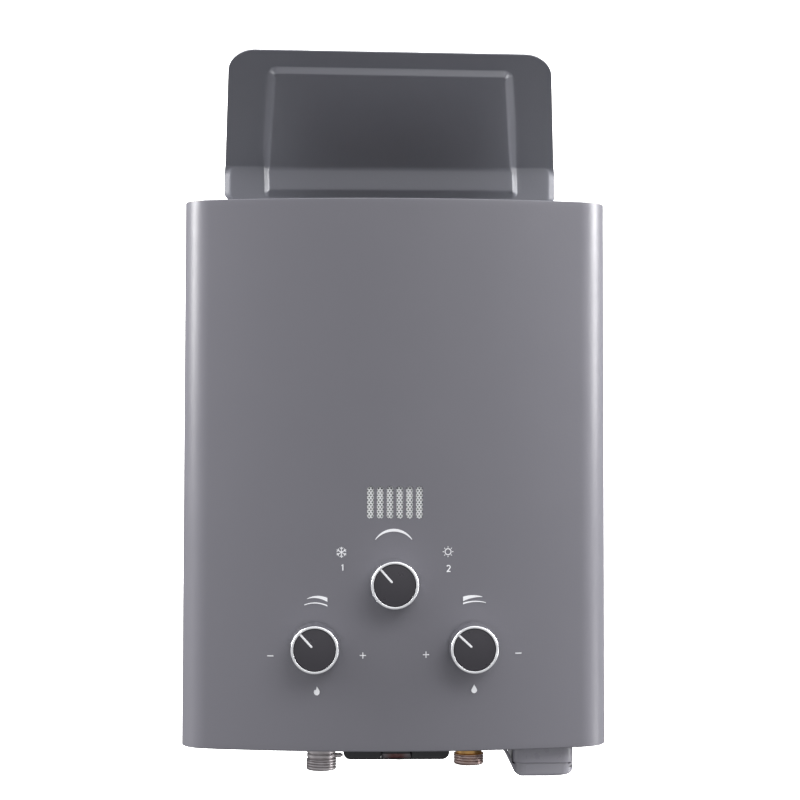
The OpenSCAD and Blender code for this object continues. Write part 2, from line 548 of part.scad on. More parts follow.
// ---- knobs: base on the plane y = yb, axis along -Y ----
module knob_frame(x, yb, z) translate([x, yb, z]) rotate([90, 0, 0]) children();
module knob_shell() rotate_extrude(convexity = 4) polygon([
  [spindle_r + run, 0.6], [5.2, 0.6], [5.2, 14.6], [14.2, 14.6], [14.2, 0], [knob_r - 0.4, 0],
  [knob_r, 0.5], [knob_r - 0.1, 6], [knob_r - 0.35, 17.4], [knob_r - 0.5, 18.6], [knob_r - 0.85, 19],
  [14.4, 19], [14.4, 16.6],
  [0, 16.6], [0, 15.6], [spindle_r + run, 15.6]]);
module knob_cap() rotate_extrude() polygon(concat([[0, 16.6], [14.3, 16.6], [14.3, 18.2]],
  [for (i = [0:6]) let (r = 13.8 * (1 - i / 6)) [r, 18.6 + 1.0 * (1 - pow(r / 13.8, 2))]]));
module spindle(len_in) cyl_z(-len_in, 15.5, 0, 0, spindle_r);
kb_top = -body_d - 0.6;
kb_low = -body_d + 0.4;
module season_knob_shell() color([0.8, 0.8, 0.82]) knob_frame(0, kb_top, knob_top_z) knob_shell();
module season_knob_cap() color([0.06, 0.06, 0.07]) knob_frame(0, kb_top, knob_top_z) knob_cap();
module season_spindle() color([0.6, 0.6, 0.62]) knob_frame(0, kb_top, knob_top_z) spindle(35);
module gas_knob_shell() color([0.8, 0.8, 0.82]) knob_frame(-knob_x, kb_low, knob_low_z) knob_shell();
module gas_knob_cap() color([0.06, 0.06, 0.07]) knob_frame(-knob_x, kb_low, knob_low_z) knob_cap();
module gas_spindle() color([0.6, 0.6, 0.62]) knob_frame(-knob_x, kb_low, knob_low_z) spindle(40);
module water_knob_shell() color([0.8, 0.8, 0.82]) knob_frame(knob_x, kb_low, knob_low_z) knob_shell();
module water_knob_cap() color([0.06, 0.06, 0.07]) knob_frame(knob_x, kb_low, knob_low_z) knob_cap();
module water_spindle() color([0.6, 0.6, 0.62]) knob_frame(knob_x, kb_low, knob_low_z) spindle(36);

front_cover();
perforated_screen();
back_plate();
top_deck();
bottom_plate();
rain_hood();
flue_collar();
combustion_chamber();
heat_exchanger_fins();
heat_exchanger_tube();
burner_frame();
burner_bars();
burner_jets();
gas_manifold();
season_valve_body();
gas_valve_body();
solenoid_valve();
water_valve_body();
diaphragm();
diaphragm_cover();
diaphragm_screws();
push_rod();
push_rod_spring();
microswitch();
microswitch_lever();
valve_bracket();
hot_outlet_fitting();
drain_plug();
cold_inlet_fitting();
inlet_filter();
gas_inlet_fitting();
fitting_nuts();
hot_water_pipe();
cold_water_pipe();
gas_pipe();
ignition_controller();
spark_electrode();
flame_sensor();
spark_lead();
limit_thermostat();
battery_box();
batteries();
battery_contacts();
battery_lid();
lid_hinge_pin();
switch_plate();
switch_housing();
switch_rocker();
switch_rain_cover();
season_knob_shell();
season_knob_cap();
season_spindle();
gas_knob_shell();
gas_knob_cap();
gas_spindle();
water_knob_shell();
water_knob_cap();
water_spindle();
cover_screws();
hood_screws();
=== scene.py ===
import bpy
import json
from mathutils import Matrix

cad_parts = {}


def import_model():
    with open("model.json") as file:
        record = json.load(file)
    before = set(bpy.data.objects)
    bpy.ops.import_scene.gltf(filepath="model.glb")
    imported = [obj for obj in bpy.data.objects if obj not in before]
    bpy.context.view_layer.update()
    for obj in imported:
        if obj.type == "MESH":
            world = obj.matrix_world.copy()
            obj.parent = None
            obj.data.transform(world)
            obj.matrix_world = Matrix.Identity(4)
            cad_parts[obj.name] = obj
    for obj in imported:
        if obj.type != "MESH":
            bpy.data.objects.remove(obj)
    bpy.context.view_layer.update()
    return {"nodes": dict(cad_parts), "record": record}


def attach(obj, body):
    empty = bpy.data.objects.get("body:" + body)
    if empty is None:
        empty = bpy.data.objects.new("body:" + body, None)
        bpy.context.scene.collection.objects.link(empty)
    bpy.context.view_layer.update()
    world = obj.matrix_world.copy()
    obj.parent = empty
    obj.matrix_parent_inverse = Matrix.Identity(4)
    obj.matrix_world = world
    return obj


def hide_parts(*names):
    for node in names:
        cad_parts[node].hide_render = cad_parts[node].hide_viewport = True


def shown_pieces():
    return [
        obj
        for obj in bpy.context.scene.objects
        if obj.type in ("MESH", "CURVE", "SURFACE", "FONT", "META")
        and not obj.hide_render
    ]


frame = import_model()

import json
import math

import bmesh
import bpy
from mathutils import Matrix, Vector
from mathutils.geometry import delaunay_2d_cdt

pi, sin, cos, tan, hyp = math.pi, math.sin, math.cos, math.tan, math.hypot
rad = math.radians

# ---------------------------------------------------------------- sizes, mm
BODY_W, BODY_H, BODY_D, BOW, CR = 290.0, 371.0, 127.0, 14.0, 24.0
ZT, ZB = BODY_H / 2, -BODY_H / 2
BOW_A = BODY_W / 2 - CR
BOW_R = (BOW_A * BOW_A + BOW * BOW) / (2 * BOW)
CORNER_Y = -BODY_D + BOW_R - math.sqrt((BOW_R - CR) ** 2 - BOW_A * BOW_A)
BOW_T = math.asin(BOW_A / (BOW_R - CR))
HOOD_X, FOLD_Z, VISOR_LEN, VISOR_A = -3.5, ZT - 1 + 37.7, 103.6, rad(40.8)
KNOBS = {"season": (0.0, -127.6, -73.7, 42.0), "gas": (-52.7, -126.6, -116.0, 43.0), "water": (52.7, -126.6, -116.0, 47.6)}
HOT, COLD, GAS = (-50.55, -66.0), (52.35, -66.0), (4.2, -30.0)
SW_X, SW_Y = 1.6, -88.0
LID_AX, LID_AZ = 120.8, -200.5


def front_y(x):
    return -BODY_D + BOW_R - math.sqrt(BOW_R * BOW_R - x * x)


# ---------------------------------------------------------------- mesh tools
def add_object(name, mesh, mats):
    ob = bpy.data.objects.new(name, mesh)
    bpy.context.scene.collection.objects.link(ob)
    for m in mats if isinstance(mats, (list, tuple)) else [mats]:
        mesh.materials.append(m)
    return ob


def from_bm(name, bm, mats, angle=32, weld=0.0):
    """bm in millimetres to an object in metres, smooth shaded with sharp edges above the angle."""
    if weld:
        bmesh.ops.remove_doubles(bm, verts=bm.verts, dist=weld)
        bmesh.ops.dissolve_degenerate(bm, edges=bm.edges, dist=weld * 0.5)
    bmesh.ops.recalc_face_normals(bm, faces=bm.faces)
    bmesh.ops.scale(bm, vec=(0.001,) * 3, verts=bm.verts)
    me = bpy.data.meshes.new(name)
    bm.to_mesh(me)
    bm.free()
    shade(me, angle)
    return add_object(name, me, mats)


def shade(me, angle=32):
    me.polygons.foreach_set("use_smooth", [True] * len(me.polygons))
    me.set_sharp_from_angle(angle=rad(angle))
    me.update()


def bake(ob, angle=32):
    """Applies the modifiers, so that the mesh is what is drawn."""
    bpy.context.view_layer.update()
    dg = bpy.context.evaluated_depsgraph_get()
    me = bpy.data.meshes.new_from_object(ob.evaluated_get(dg), depsgraph=dg)
    old = ob.data
    ob.modifiers.clear()
    ob.data = me
    me.name = old.name + "_baked"
    bpy.data.meshes.remove(old)
    shade(me, angle)
    return ob


def cut(ob, cutter, op="DIFFERENCE", angle=32):
    m = ob.modifiers.new("cut", "BOOLEAN")
    m.operation, m.solver, m.object = op, "EXACT", cutter
    cutter.hide_render = True
    bake(ob, angle)
    bpy.data.objects.remove(cutter)
    return ob


def grid_faces(bm, rows, closed=False):
    """rows of equal length joined into quads; closed joins each row's ends."""
    out = []
    for a, b in zip(rows, rows[1:]):
        n = len(a)
        for i in range(n if closed else n - 1):
            j = (i + 1) % n
            vs = [a[i], a[j], b[j], b[i]]
            if len(set(vs)) == 4:
                out.append(bm.faces.new(vs))
    return out


def verts(bm, pts):
    return [bm.verts.new(p) for p in pts]


def rrect(xl, xr, yf, yb, r, n=8):
    """rounded rectangle in plan, anticlockwise from above"""
    r = max(0.01, min(r, (xr - xl) / 2 - 0.01, (yb - yf) / 2 - 0.01))
    out = []
    for cx, cy, a in ((xr - r, yf + r, -90), (xr - r, yb - r, 0), (xl + r, yb - r, 90), (xl + r, yf + r, 180)):
        for i in range(n + 1):
            t = rad(a + 90 * i / n)
            out.append((cx + r * cos(t), cy + r * sin(t)))
    return out


def loft(bm, levels, cap_start=True, cap_end=True):
    """closed outlines joined one after the other; levels are lists of points of equal length"""
    rows = [verts(bm, lv) for lv in levels]
    grid_faces(bm, rows, closed=True)
    if cap_start:
        bm.faces.new(rows[0])
    if cap_end:
        bm.faces.new(rows[-1])
    return rows


def extrude_poly(bm, pts, place, d0, d1, bevel=0.0, n=3):
    """a polygon (u, v) extruded from d0 to d1 with rounded end edges; place(u, v, d) gives the point"""
    def inset(o):
        k, out = len(pts), []
        for i in range(k):
            p0, p1, p2 = Vector(pts[i - 1]), Vector(pts[i]), Vector(pts[(i + 1) % k])
            e1, e2 = (p1 - p0).normalized(), (p2 - p1).normalized()
            n1, n2 = Vector((-e1.y, e1.x)), Vector((-e2.y, e2.x))
            m = n1 + n2
            q = p1 + m * (o / max(0.35, 1 + n1.dot(n2)))
            out.append((q.x, q.y))
        return out
    area = sum(pts[i - 1][0] * pts[i][1] - pts[i][0] * pts[i - 1][1] for i in range(len(pts)))
    if area < 0:
        pts = pts[::-1]
    lv = []
    if bevel:
        s = 1 if d1 > d0 else -1
        for i in range(n + 1):
            t = pi / 2 * i / n
            lv.append((bevel * (1 - sin(t)), d0 + s * bevel * (1 - cos(t))))
        for i in range(n + 1):
            t = pi / 2 * (1 - i / n)
            lv.append((bevel * (1 - sin(t)), d1 - s * bevel * (1 - cos(t))))
    else:
        lv = [(0, d0), (0, d1)]
    return loft(bm, [[place(u, v, d) for u, v in inset(o)] for o, d in lv])


def lathe(bm, prof, seg=96, place=None, mats=None, rmod=None, closed=True):
    """profile of (r, z) turned about the z axis; place maps a point; rmod(r, z, angle) bends the radius"""
    place = place or (lambda x, y, z: (x, y, z))
    rows = []
    for r, z in prof:
        if r < 1e-6:
            v = bm.verts.new(place(0, 0, z))
            rows.append([v] * seg)
            continue
        row = []
        for i in range(seg):
            a = 2 * pi * i / seg
            rr = rmod(r, z, a) if rmod else r
            row.append(bm.verts.new(place(rr * cos(a), rr * sin(a), z)))
        rows.append(row)
    pairs = list(zip(rows, rows[1:])) + ([(rows[-1], rows[0])] if closed else [])
    for k, (a, b) in enumerate(pairs):
        if a[0] is a[1] and b[0] is b[1]:
            continue
        for i in range(seg):
            j = (i + 1) % seg
            vs = []
            for v in (a[i], a[j], b[j], b[i]):
                if v not in vs:
                    vs.append(v)
            if len(vs) > 2:
                f = bm.faces.new(vs)
                if mats:
                    f.material_index = mats[k]
    return rows


def plate_with_holes(bm, outer, holes, place, d0, d1, steiner=()):
    """flat sheet with through holes: outer and holes are (u, v) outlines; place(u, v, d) gives the point"""
    pts, loops = [], []
    for lp in [outer] + holes:
        k = len(pts)
        pts += [Vector(p) for p in lp]
        loops.append(list(range(k, len(pts))))
    pts += [Vector(p) for p in steiner]
    edges = [(lp[i - 1], lp[i]) for lp in loops for i in range(len(lp))]
    co, _, fs, orig, *_ = delaunay_2d_cdt(pts, edges, [], 0, 1e-5)

    def inside(p, lp):
        c, j = False, len(lp) - 1
        for i in range(len(lp)):
            if (lp[i][1] > p[1]) != (lp[j][1] > p[1]) and p[0] < (lp[j][0] - lp[i][0]) * (p[1] - lp[i][1]) / (lp[j][1] - lp[i][1]) + lp[i][0]:
                c = not c
            j = i
        return c
    boxes = [(min(p[0] for p in h), max(p[0] for p in h), min(p[1] for p in h), max(p[1] for p in h), h) for h in holes]
    top = [bm.verts.new(place(p.x, p.y, d0)) for p in co]
    bot = [bm.verts.new(place(p.x, p.y, d1)) for p in co]
    count = {}
    for f in fs:
        c = sum((co[i] for i in f), Vector((0, 0))) / len(f)
        if not inside(c, outer) or any(b[0] < c.x < b[1] and b[2] < c.y < b[3] and inside(c, b[4]) for b in boxes):
            continue
        bm.faces.new([top[i] for i in f])
        bm.faces.new([bot[i] for i in reversed(f)])
        for i in range(len(f)):
            e = (f[i], f[(i + 1) % len(f)])
            count[e] = 1
    for a, b in list(count):
        if (b, a) not in count:
            bm.faces.new([top[b], top[a], bot[a], bot[b]])
    for v in [v for v in bm.verts if not v.link_faces]:
        bm.verts.remove(v)


def circle(cx, cy, r, n, a0=0.0):
    return [(cx + r * cos(a0 + 2 * pi * i / n), cy + r * sin(a0 + 2 * pi * i / n)) for i in range(n)]


# ---------------------------------------------------------------- materials
def node_tree(name):
    m = bpy.data.materials.new(name)
    m.use_nodes = True
    nt = m.node_tree
    return m, nt, nt.nodes["Principled BSDF"]


def link(nt, a, b):
    nt.links.new(a, b)


def coords(nt, scale=(1, 1, 1), rot=(0, 0, 0)):
    tc = nt.nodes.new("ShaderNodeTexCoord")
    mp = nt.nodes.new("ShaderNodeMapping")
    mp.inputs["Scale"].default_value = scale
    mp.inputs["Rotation"].default_value = rot
    link(nt, tc.outputs["Object"], mp.inputs["Vector"])
    return mp.outputs["Vector"]


def noise(nt, vec, scale, detail=3, rough=0.55, dist=0.0):
    n = nt.nodes.new("ShaderNodeTexNoise")
    n.inputs["Scale"].default_value = scale
    n.inputs["Detail"].default_value = detail
    n.inputs["Roughness"].default_value = rough
    n.inputs["Distortion"].default_value = dist
    link(nt, vec, n.inputs["Vector"])
    return n.outputs["Fac"]


def voronoi(nt, vec, scale, feature="F1", out="Distance", rnd=1.0):
    n = nt.nodes.new("ShaderNodeTexVoronoi")
    n.feature = feature
    n.inputs["Scale"].default_value = scale
    n.inputs["Randomness"].default_value = rnd
    link(nt, vec, n.inputs["Vector"])
    return n.outputs[out]


def ramp(nt, fac, a, b, lo=0.0, hi=1.0):
    n = nt.nodes.new("ShaderNodeMapRange")
    n.inputs["From Min"].default_value = a
    n.inputs["From Max"].default_value = b
    n.inputs["To Min"].default_value = lo
    n.inputs["To Max"].default_value = hi
    link(nt, fac, n.inputs["Value"])
    return n.outputs["Result"]


def mix(nt, fac, a, b):
    n = nt.nodes.new("ShaderNodeMix")
    n.data_type = "RGBA"
    link(nt, fac, n.inputs["Factor"])
    for s, v in (("A", a), ("B", b)):
        sock = [i for i in n.inputs if i.name == s and i.type == "RGBA"][0]
        if hasattr(v, "node"):
            link(nt, v, sock)
        else:
            sock.default_value = (*v, 1)
    return [o for o in n.outputs if o.type == "RGBA"][0]


def math_node(nt, op, a, b):
    n = nt.nodes.new("ShaderNodeMath")
    n.operation = op
    for i, v in enumerate((a, b)):
        if hasattr(v, "node"):
            link(nt, v, n.inputs[i])
        else:
            n.inputs[i].default_value = v
    return n.outputs[0]


def bump(nt, bs, height, dist, strength=1.0, prev=None):
    n = nt.nodes.new("ShaderNodeBump")
    n.inputs["Distance"].default_value = dist
    n.inputs["Strength"].default_value = strength
    link(nt, height, n.inputs["Height"])
    if prev:
        link(nt, prev, n.inputs["Normal"])
    link(nt, n.outputs["Normal"], bs.inputs["Normal"])
    return n.outputs["Normal"]


def shade_of(c, k):
    return tuple(min(1.0, max(0.0, x * k)) for x in c)


def finish_mat(name, base, rough=0.4, metallic=0.0, var=0.06, scale=60.0, rvar=0.08, grain=0.0, grain_scale=900.0,
               stretch=(1, 1, 1), tint=None, tint_scale=25.0, tint_at=(0.5, 0.75), coat=0.0, ior=1.5, spec=0.5, fine=0.0):
    """one finish: a base colour that drifts a little, an optional second tint in patches, roughness that varies and a fine surface grain"""
    m, nt, bs = node_tree(name)
    v = coords(nt, stretch)
    col = mix(nt, noise(nt, v, scale, 4), shade_of(base, 1 - var), shade_of(base, 1 + var))
    if tint:
        col = mix(nt, ramp(nt, noise(nt, v, tint_scale, 5, 0.6), tint_at[0], tint_at[1]), col, tint)
    if fine:
        col = mix(nt, ramp(nt, noise(nt, v, grain_scale, 2), 0.35, 0.65, 0, fine), col, shade_of(base, 0.55))
    link(nt, col, bs.inputs["Base Color"])
    link(nt, ramp(nt, noise(nt, v, scale * 2.3, 3), 0.3, 0.7, max(0.02, rough - rvar), min(1, rough + rvar)), bs.inputs["Roughness"])
    bs.inputs["Metallic"].default_value = metallic
    bs.inputs["IOR"].default_value = ior
    bs.inputs["Specular IOR Level"].default_value = spec
    bs.inputs["Coat Weight"].default_value = coat
    bs.inputs["Coat Roughness"].default_value = 0.15
    if grain:
        bump(nt, bs, noise(nt, v, grain_scale, 3), grain)
    return m


# ---- the finishes of the heater
def casing_material(name, base):
    """grey powder coat over pressed sheet: faint orange peel, slow tone drift, light dust specks in patches"""
    m, nt, bs = node_tree(name)
    v = coords(nt)
    col = mix(nt, noise(nt, v, 6.0, 4, 0.6), shade_of(base, 0.96), shade_of(base, 1.04))
    speck = ramp(nt, voronoi(nt, v, 420.0), 0.0, 0.16, 0.55, 0.0)
    col = mix(nt, math_node(nt, "MULTIPLY", speck, ramp(nt, noise(nt, v, 90.0, 2), 0.45, 0.65)), col, shade_of(base, 1.18))
    link(nt, col, bs.inputs["Base Color"])
    link(nt, ramp(nt, noise(nt, v, 22.0, 5, 0.65), 0.3, 0.7, 0.33, 0.41), bs.inputs["Roughness"])
    peel = math_node(nt, "ADD", math_node(nt, "MULTIPLY", noise(nt, v, 420.0, 2), 0.6), math_node(nt, "MULTIPLY", noise(nt, v, 1500.0, 2), 0.3))
    bump(nt, bs, peel, 0.00012, 0.5)
    return m


PAINT = casing_material("casing paint", (0.146, 0.143, 0.163))
# the hood paint is the casing paint made darker: painted shade for the visor, which faces down and away from the lamps
HOOD_PAINT_DARKENED = casing_material("hood paint darkened for shade", (0.128, 0.130, 0.150))


def zinc_material():
    """zinc coated sheet: crystals of slightly different shade and gloss"""
    m, nt, bs = node_tree("zinc sheet")
    v = coords(nt)
    cell = voronoi(nt, v, 150.0, out="Color")
    sep = nt.nodes.new("ShaderNodeSeparateColor")
    link(nt, cell, sep.inputs[0])
    col = mix(nt, sep.outputs[0], (0.40, 0.41, 0.42), (0.46, 0.47, 0.485))
    col = mix(nt, ramp(nt, noise(nt, v, 7.0, 5, 0.6), 0.45, 0.75, 0.0, 0.5), col, (0.36, 0.365, 0.37))
    link(nt, col, bs.inputs["Base Color"])
    link(nt, ramp(nt, sep.outputs[1], 0.0, 1.0, 0.48, 0.60), bs.inputs["Roughness"])
    bs.inputs["Metallic"].default_value = 0.6
    bump(nt, bs, noise(nt, v, 900.0, 2), 0.00001)
    return m


ZINC = zinc_material()
STAINLESS = finish_mat("stainless", (0.60, 0.60, 0.60), 0.3, 1.0, 0.05, 200, 0.08, 0.00001, 1800, stretch=(1, 1, 0.12))
SCREWM = finish_mat("screw steel", (0.56, 0.56, 0.57), 0.34, 1.0, 0.08, 300, 0.08, 0.00002, 1400)
# the perforated steel screen is drawn as a near-white non-metal: painted reflection standing for the bright sheen of
# its metal
SCREEN_PAINTED_WHITE = finish_mat("screen metal", (0.98, 0.98, 0.985), 0.42, 0.0, 0.015, 300, 0.06, 0.00001, 2000)
COPPER = finish_mat("copper", (0.64, 0.33, 0.2), 0.34, 1.0, 0.1, 90, 0.1, 0.00002, 900, tint=(0.36, 0.17, 0.1), tint_scale=60, tint_at=(0.5, 0.72))
BRASS = finish_mat("brass", (0.70, 0.51, 0.21), 0.3, 1.0, 0.08, 160, 0.08, 0.00001, 1500, tint=(0.5, 0.33, 0.13), tint_scale=90, tint_at=(0.52, 0.75))
AGED = finish_mat("aged brass", (0.56, 0.43, 0.40), 0.32, 0.85, 0.1, 180, 0.08, 0.00002, 1500, tint=(0.46, 0.30, 0.2), tint_scale=160, tint_at=(0.5, 0.8))
ORANGE = finish_mat("raw brass", (0.62, 0.36, 0.13), 0.36, 1.0, 0.08, 160, 0.08, 0.00001, 1500)
NICKEL = finish_mat("nickel brass", (0.55, 0.515, 0.525), 0.40, 1.0, 0.05, 180, 0.06, 0.00001, 1500, tint=(0.42, 0.39, 0.39), tint_scale=140, tint_at=(0.45, 0.8))
CAST = finish_mat("cast aluminium", (0.55, 0.55, 0.56), 0.5, 0.95, 0.08, 120, 0.08, 0.00008, 800)
COILM = finish_mat("coil jacket", (0.06, 0.1, 0.3), 0.4, 0, 0.1, 100)
RUBBER = finish_mat("black rubber", (0.03, 0.03, 0.03), 0.7, 0, 0.15, 100, grain=0.00004)
BLACKP = finish_mat("black plastic", (0.024, 0.024, 0.027), 0.42, 0, 0.12, 200, 0.08, 0.00004, 1500)
# box and lid are one grey plastic in two copies: the box copy is made lighter, painted light against the shade the
# casing casts on the box front
GREY_PLASTIC_LIGHTENED = finish_mat("grey plastic", (0.315, 0.307, 0.345), 0.3, 0, 0.015, 60, 0.04, 0.000012, 1700)
GREY_PLASTIC_LID_COPY = finish_mat("grey plastic lid", (0.275, 0.269, 0.300), 0.3, 0, 0.015, 60, 0.04, 0.000012, 1700)
REDP = finish_mat("red plastic", (0.50, 0.04, 0.03), 0.28, 0, 0.06, 200)
LEADM = finish_mat("silicone lead", (0.4, 0.04, 0.03), 0.6, 0, 0.08, 150, grain=0.00003)
CERAM = finish_mat("ceramic", (0.80, 0.79, 0.75), 0.22, 0, 0.04, 150)
CELL = finish_mat("cell jacket", (0.02, 0.02, 0.025), 0.3, 0, 0.1, 100, tint=(0.5, 0.3, 0.08), tint_scale=8, tint_at=(0.52, 0.53))
CHROME = finish_mat("knob chrome", (0.74, 0.74, 0.77), 0.22, 1.0, 0.012, 90, 0.015, 0.000003, 1800)
RINGM = finish_mat("knob ring", (0.84, 0.84, 0.86), 0.4, 0.9, 0.01, 120, 0.02, 0.000003, 2500)
KNOBK = finish_mat("knob black", (0.030, 0.027, 0.034), 0.3, 0, 0.03, 60, 0.03, coat=0.2)
WHITEM = finish_mat("marking white", (0.80, 0.80, 0.82), 0.5, 0, 0.03, 500, 0.05, 0.00001, 2500)
# dark heat-stained steel: real heat stain on the combustion chamber; on the flue collar it is painted shade, making the
# collar's top edge a dark line above the casing
HEAT_STAINED_AND_SHADE_STEEL = finish_mat("chamber steel and collar shade", (0.42, 0.40, 0.38), 0.5, 1.0, 0.12, 60, 0.1, 0.00003, 700, tint=(0.2, 0.15, 0.12), tint_scale=30, tint_at=(0.5, 0.72))


def clear_material(name, base, alpha, mid):
    """soft translucent cap: a thin milky skin, redder in the middle where the rocker lies close behind it"""
    m, nt, bs = node_tree(name)
    v = coords(nt)
    sep = nt.nodes.new("ShaderNodeSeparateXYZ")
    link(nt, v, sep.inputs[0])
    off = math_node(nt, "ABSOLUTE", math_node(nt, "SUBTRACT", sep.outputs["X"], SW_X / 1000), 0.0)
    near = ramp(nt, off, 0.0035, 0.0085, 1.0, 0.0)
    skin = mix(nt, noise(nt, v, 200, 3), shade_of(base, 0.94), shade_of(base, 1.05))
    link(nt, mix(nt, near, skin, mid), bs.inputs["Base Color"])
    link(nt, ramp(nt, noise(nt, v, 320, 2), 0.3, 0.7, 0.24, 0.34), bs.inputs["Roughness"])
    bs.inputs["Alpha"].default_value = alpha
    bs.inputs["IOR"].default_value = 1.41
    return m


MILKY = clear_material("silicone rim", (0.30, 0.275, 0.29), 0.96, (0.20, 0.085, 0.08))
CLEAR = clear_material("clear silicone", (0.26, 0.20, 0.20), 0.82, (0.24, 0.07, 0.06))

# ---------------------------------------------------------------- front cover


def own(ob, body, *nodes, slot=None):
    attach(ob, body)
    if nodes:
        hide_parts(*nodes)
    return ob


def plan_columns():
    """outer outline of the cover in plan with its inward normal and its top fillet radius"""
    cols = []
    ys = [-1.5, -3, -10] + [-20 - 10 * i for i in range(6)] + [-76, -82]
    side = [(145.0, y, 1.0, 0.0) for y in ys]
    corner = []
    for i in range(21):
        t = pi / 2 - (pi / 2 - BOW_T) * i / 20
        corner.append((BOW_A + CR * sin(t), CORNER_Y - CR * cos(t), sin(t), -cos(t)))
    mid = []
    for i in range(1, 80):
        t = BOW_T * (1 - i / 40)
        mid.append((BOW_R * sin(t), -BODY_D + BOW_R - BOW_R * cos(t), sin(t), -cos(t)))
    right = side + corner
    left = [(-x, y, -nx, ny) for x, y, nx, ny in reversed(right)]
    for x, y, nx, ny in right + mid + left:
        k = max(0.0, min(1.0, (-100.5 - (y - 3 * ny)) / 9.0)) if y < -96 else 0.0
        cols.append((x, y, nx, ny, 0.25 + 0.6 * k * k * (3 - 2 * k)))
    return cols


def build_cover():
    bm = bmesh.new()
    zs = [-150 + 25 * i for i in range(13)]
    rows = []
    n = 8

    def edge(sgn):
        out = []
        for k in range(n + 1):
            a = pi / 2 * k / n
            out.append([(x - nx * r * (1 - cos(a)), y - ny * r * (1 - cos(a)), sgn * (ZT - r + r * sin(a))) for x, y, nx, ny, r in plan_columns()])
        for f in (0.03, 0.3, 0.65, 1.0):
            row = []
            for x, y, nx, ny, r in plan_columns():
                px, py = x - nx * r, y - ny * r
                row.append((px, py + max(0.0, -100 - py) * f, sgn * ZT))
            out.append(row)
        return out
    low = edge(-1)[::-1]
    high = edge(1)
    mid = [[(x, y, z) for x, y, nx, ny, r in plan_columns()] for z in [-181, -175] + zs + [175, 181]]
    for lv in low + mid + high:
        rows.append(verts(bm, lv))
    grid_faces(bm, rows)
    bmesh.ops.remove_doubles(bm, verts=bm.verts, dist=0.004)
    bmesh.ops.dissolve_degenerate(bm, edges=bm.edges, dist=0.002)
    ob = from_bm("casing_cover", bm, [PAINT], 40)
    # normals outward: the middle of the front looks to -Y
    me = ob.data
    f = min(me.polygons, key=lambda p: p.center.y)
    if f.normal.y > 0:
        me.flip_normals()
    m = ob.modifiers.new("sheet", "SOLIDIFY")
    m.thickness, m.offset, m.use_even_offset, m.use_quality_normals = 0.001, -1, False, True
    bake(ob, 40)
    # sight slots, spindle holes and screw holes
    bm = bmesh.new()
    for i in range(6):
        x = (i - 2.5) * 6.55
        pts = [(x + 2.3 * cos(a), -19.7 + (8.6 if k < 13 else -8.6) + 2.3 * sin(a)) for k, a in enumerate([pi * j / 12 for j in range(13)] + [pi + pi * j / 12 for j in range(13)])]
        extrude_poly(bm, pts, lambda u, v, d: (u, d, v), -140, -115)
    for x, _, z, _ in KNOBS.values():
        extrude_poly(bm, circle(x, z, 5, 40), lambda u, v, d: (u, d, v), -140, -115)
    for x in (-90, 90):
        for z in (ZT, ZB):
            extrude_poly(bm, circle(x, -106, 2, 24), lambda u, v, d, z=z: (u, v, z + d), -5, 5)
    cutter = from_bm("cutter", bm, [PAINT], 40)
    cut(ob, cutter, angle=40)
    return own(ob, "root", "front_cover", slot="casing_paint")


build_cover()


# ---------------------------------------------------------------- rain hood
HH = 4.2
VD = (-cos(VISOR_A), sin(VISOR_A))
N2 = (-sin(VISOR_A), -cos(VISOR_A))


def ease(t, w=0.22):
    """ramp from 0 to 1 with rounded ends"""
    t = max(0.0, min(1.0, t))
    k = 1 / (1 - w)
    if t < w:
        return k * t * t / (2 * w)
    if t > 1 - w:
        return 1 - k * (1 - t) ** 2 / (2 * w)
    return k * (t - w / 2)


def hood_curve(s, L):
    """point and viewer-side normal on the bent line, s measured from the fold"""
    if s <= -L:
        return (-22.0, FOLD_Z + s), (-1.0, 0.0)
    if s >= L:
        return (-22.0 + VD[0] * s, FOLD_Z + VD[1] * s), N2
    t = (s + L) / (2 * L)
    p = [(1 - t) ** 2 * a + 2 * t * (1 - t) * f + t * t * b for a, f, b in zip((-22.0, FOLD_Z - L), (-22.0, FOLD_Z), (-22.0 + VD[0] * L, FOLD_Z + VD[1] * L))]
    n = Vector((-(1 - t) + t * N2[0], t * N2[1])).normalized()
    return tuple(p), (n.x, n.y)


def w_half(s, side):
    """half width of the sheet at s"""
    w = 120.3 + 1.6 * ease(-s / 4.0) if s < 0 else 120.3 + (111.4 - 120.3) * s / VISOR_LEN
    r = 18.0
    if s > VISOR_LEN - r:
        d = min(r, s - (VISOR_LEN - r))
        w -= r - math.sqrt(r * r - d * d)
    lo = -(FOLD_Z - 196.4)
    rb = 7.0 if side < 0 else 4.0
    if s < lo + rb:
        d = lo + rb - max(s, lo)
        w -= rb - math.sqrt(max(0.0, rb * rb - d * d))
    return w


def p_shift(s, side):
    """the pressed panel sits a little to the right on the riser"""
    return side * 1.0 * ease((12 - s) / 30)


def p_out(s, side):
    return (93.1 if s < 0 else 93.1 - 0.0893 * s + 1.4 * max(0.0, 1 - ((s - 55) / 55) ** 2)) + p_shift(s, side)


def p_in(s, side):
    return (88.2 - 1.1 * max(0.0, min(1.0, (s + 4) / 8)) if s < 4 else 87.1 - 0.0963 * (s - 4)) + p_shift(s, side)


S_BOT = -(FOLD_Z - 196.4)
B_OUT, B_IN, T_OUT, T_IN = S_BOT + 2.4, S_BOT + 8.8, 90.4, 86.6


def lift(x, s):
    """how far the pressed panel stands proud, 0 to 1"""
    side = -1 if x < 0 else 1
    wa = p_out(s, side) - p_in(s, side)
    a = p_out(s, side) - abs(x)
    top = s > 30
    b, wb = (T_OUT - s, T_OUT - T_IN) if top else (s - B_OUT, B_IN - B_OUT)
    if min(a, b) <= 0:
        return 0.0
    if a < wa and b < wa:
        u, v = wa - a, wa - b
        d = hyp(u, v)
        f = v * v / max(1e-9, d * d)
        return ease((wa - d) / (wa * (1 - f) + wb * f))
    return ease(min(a / wa, b / wb))


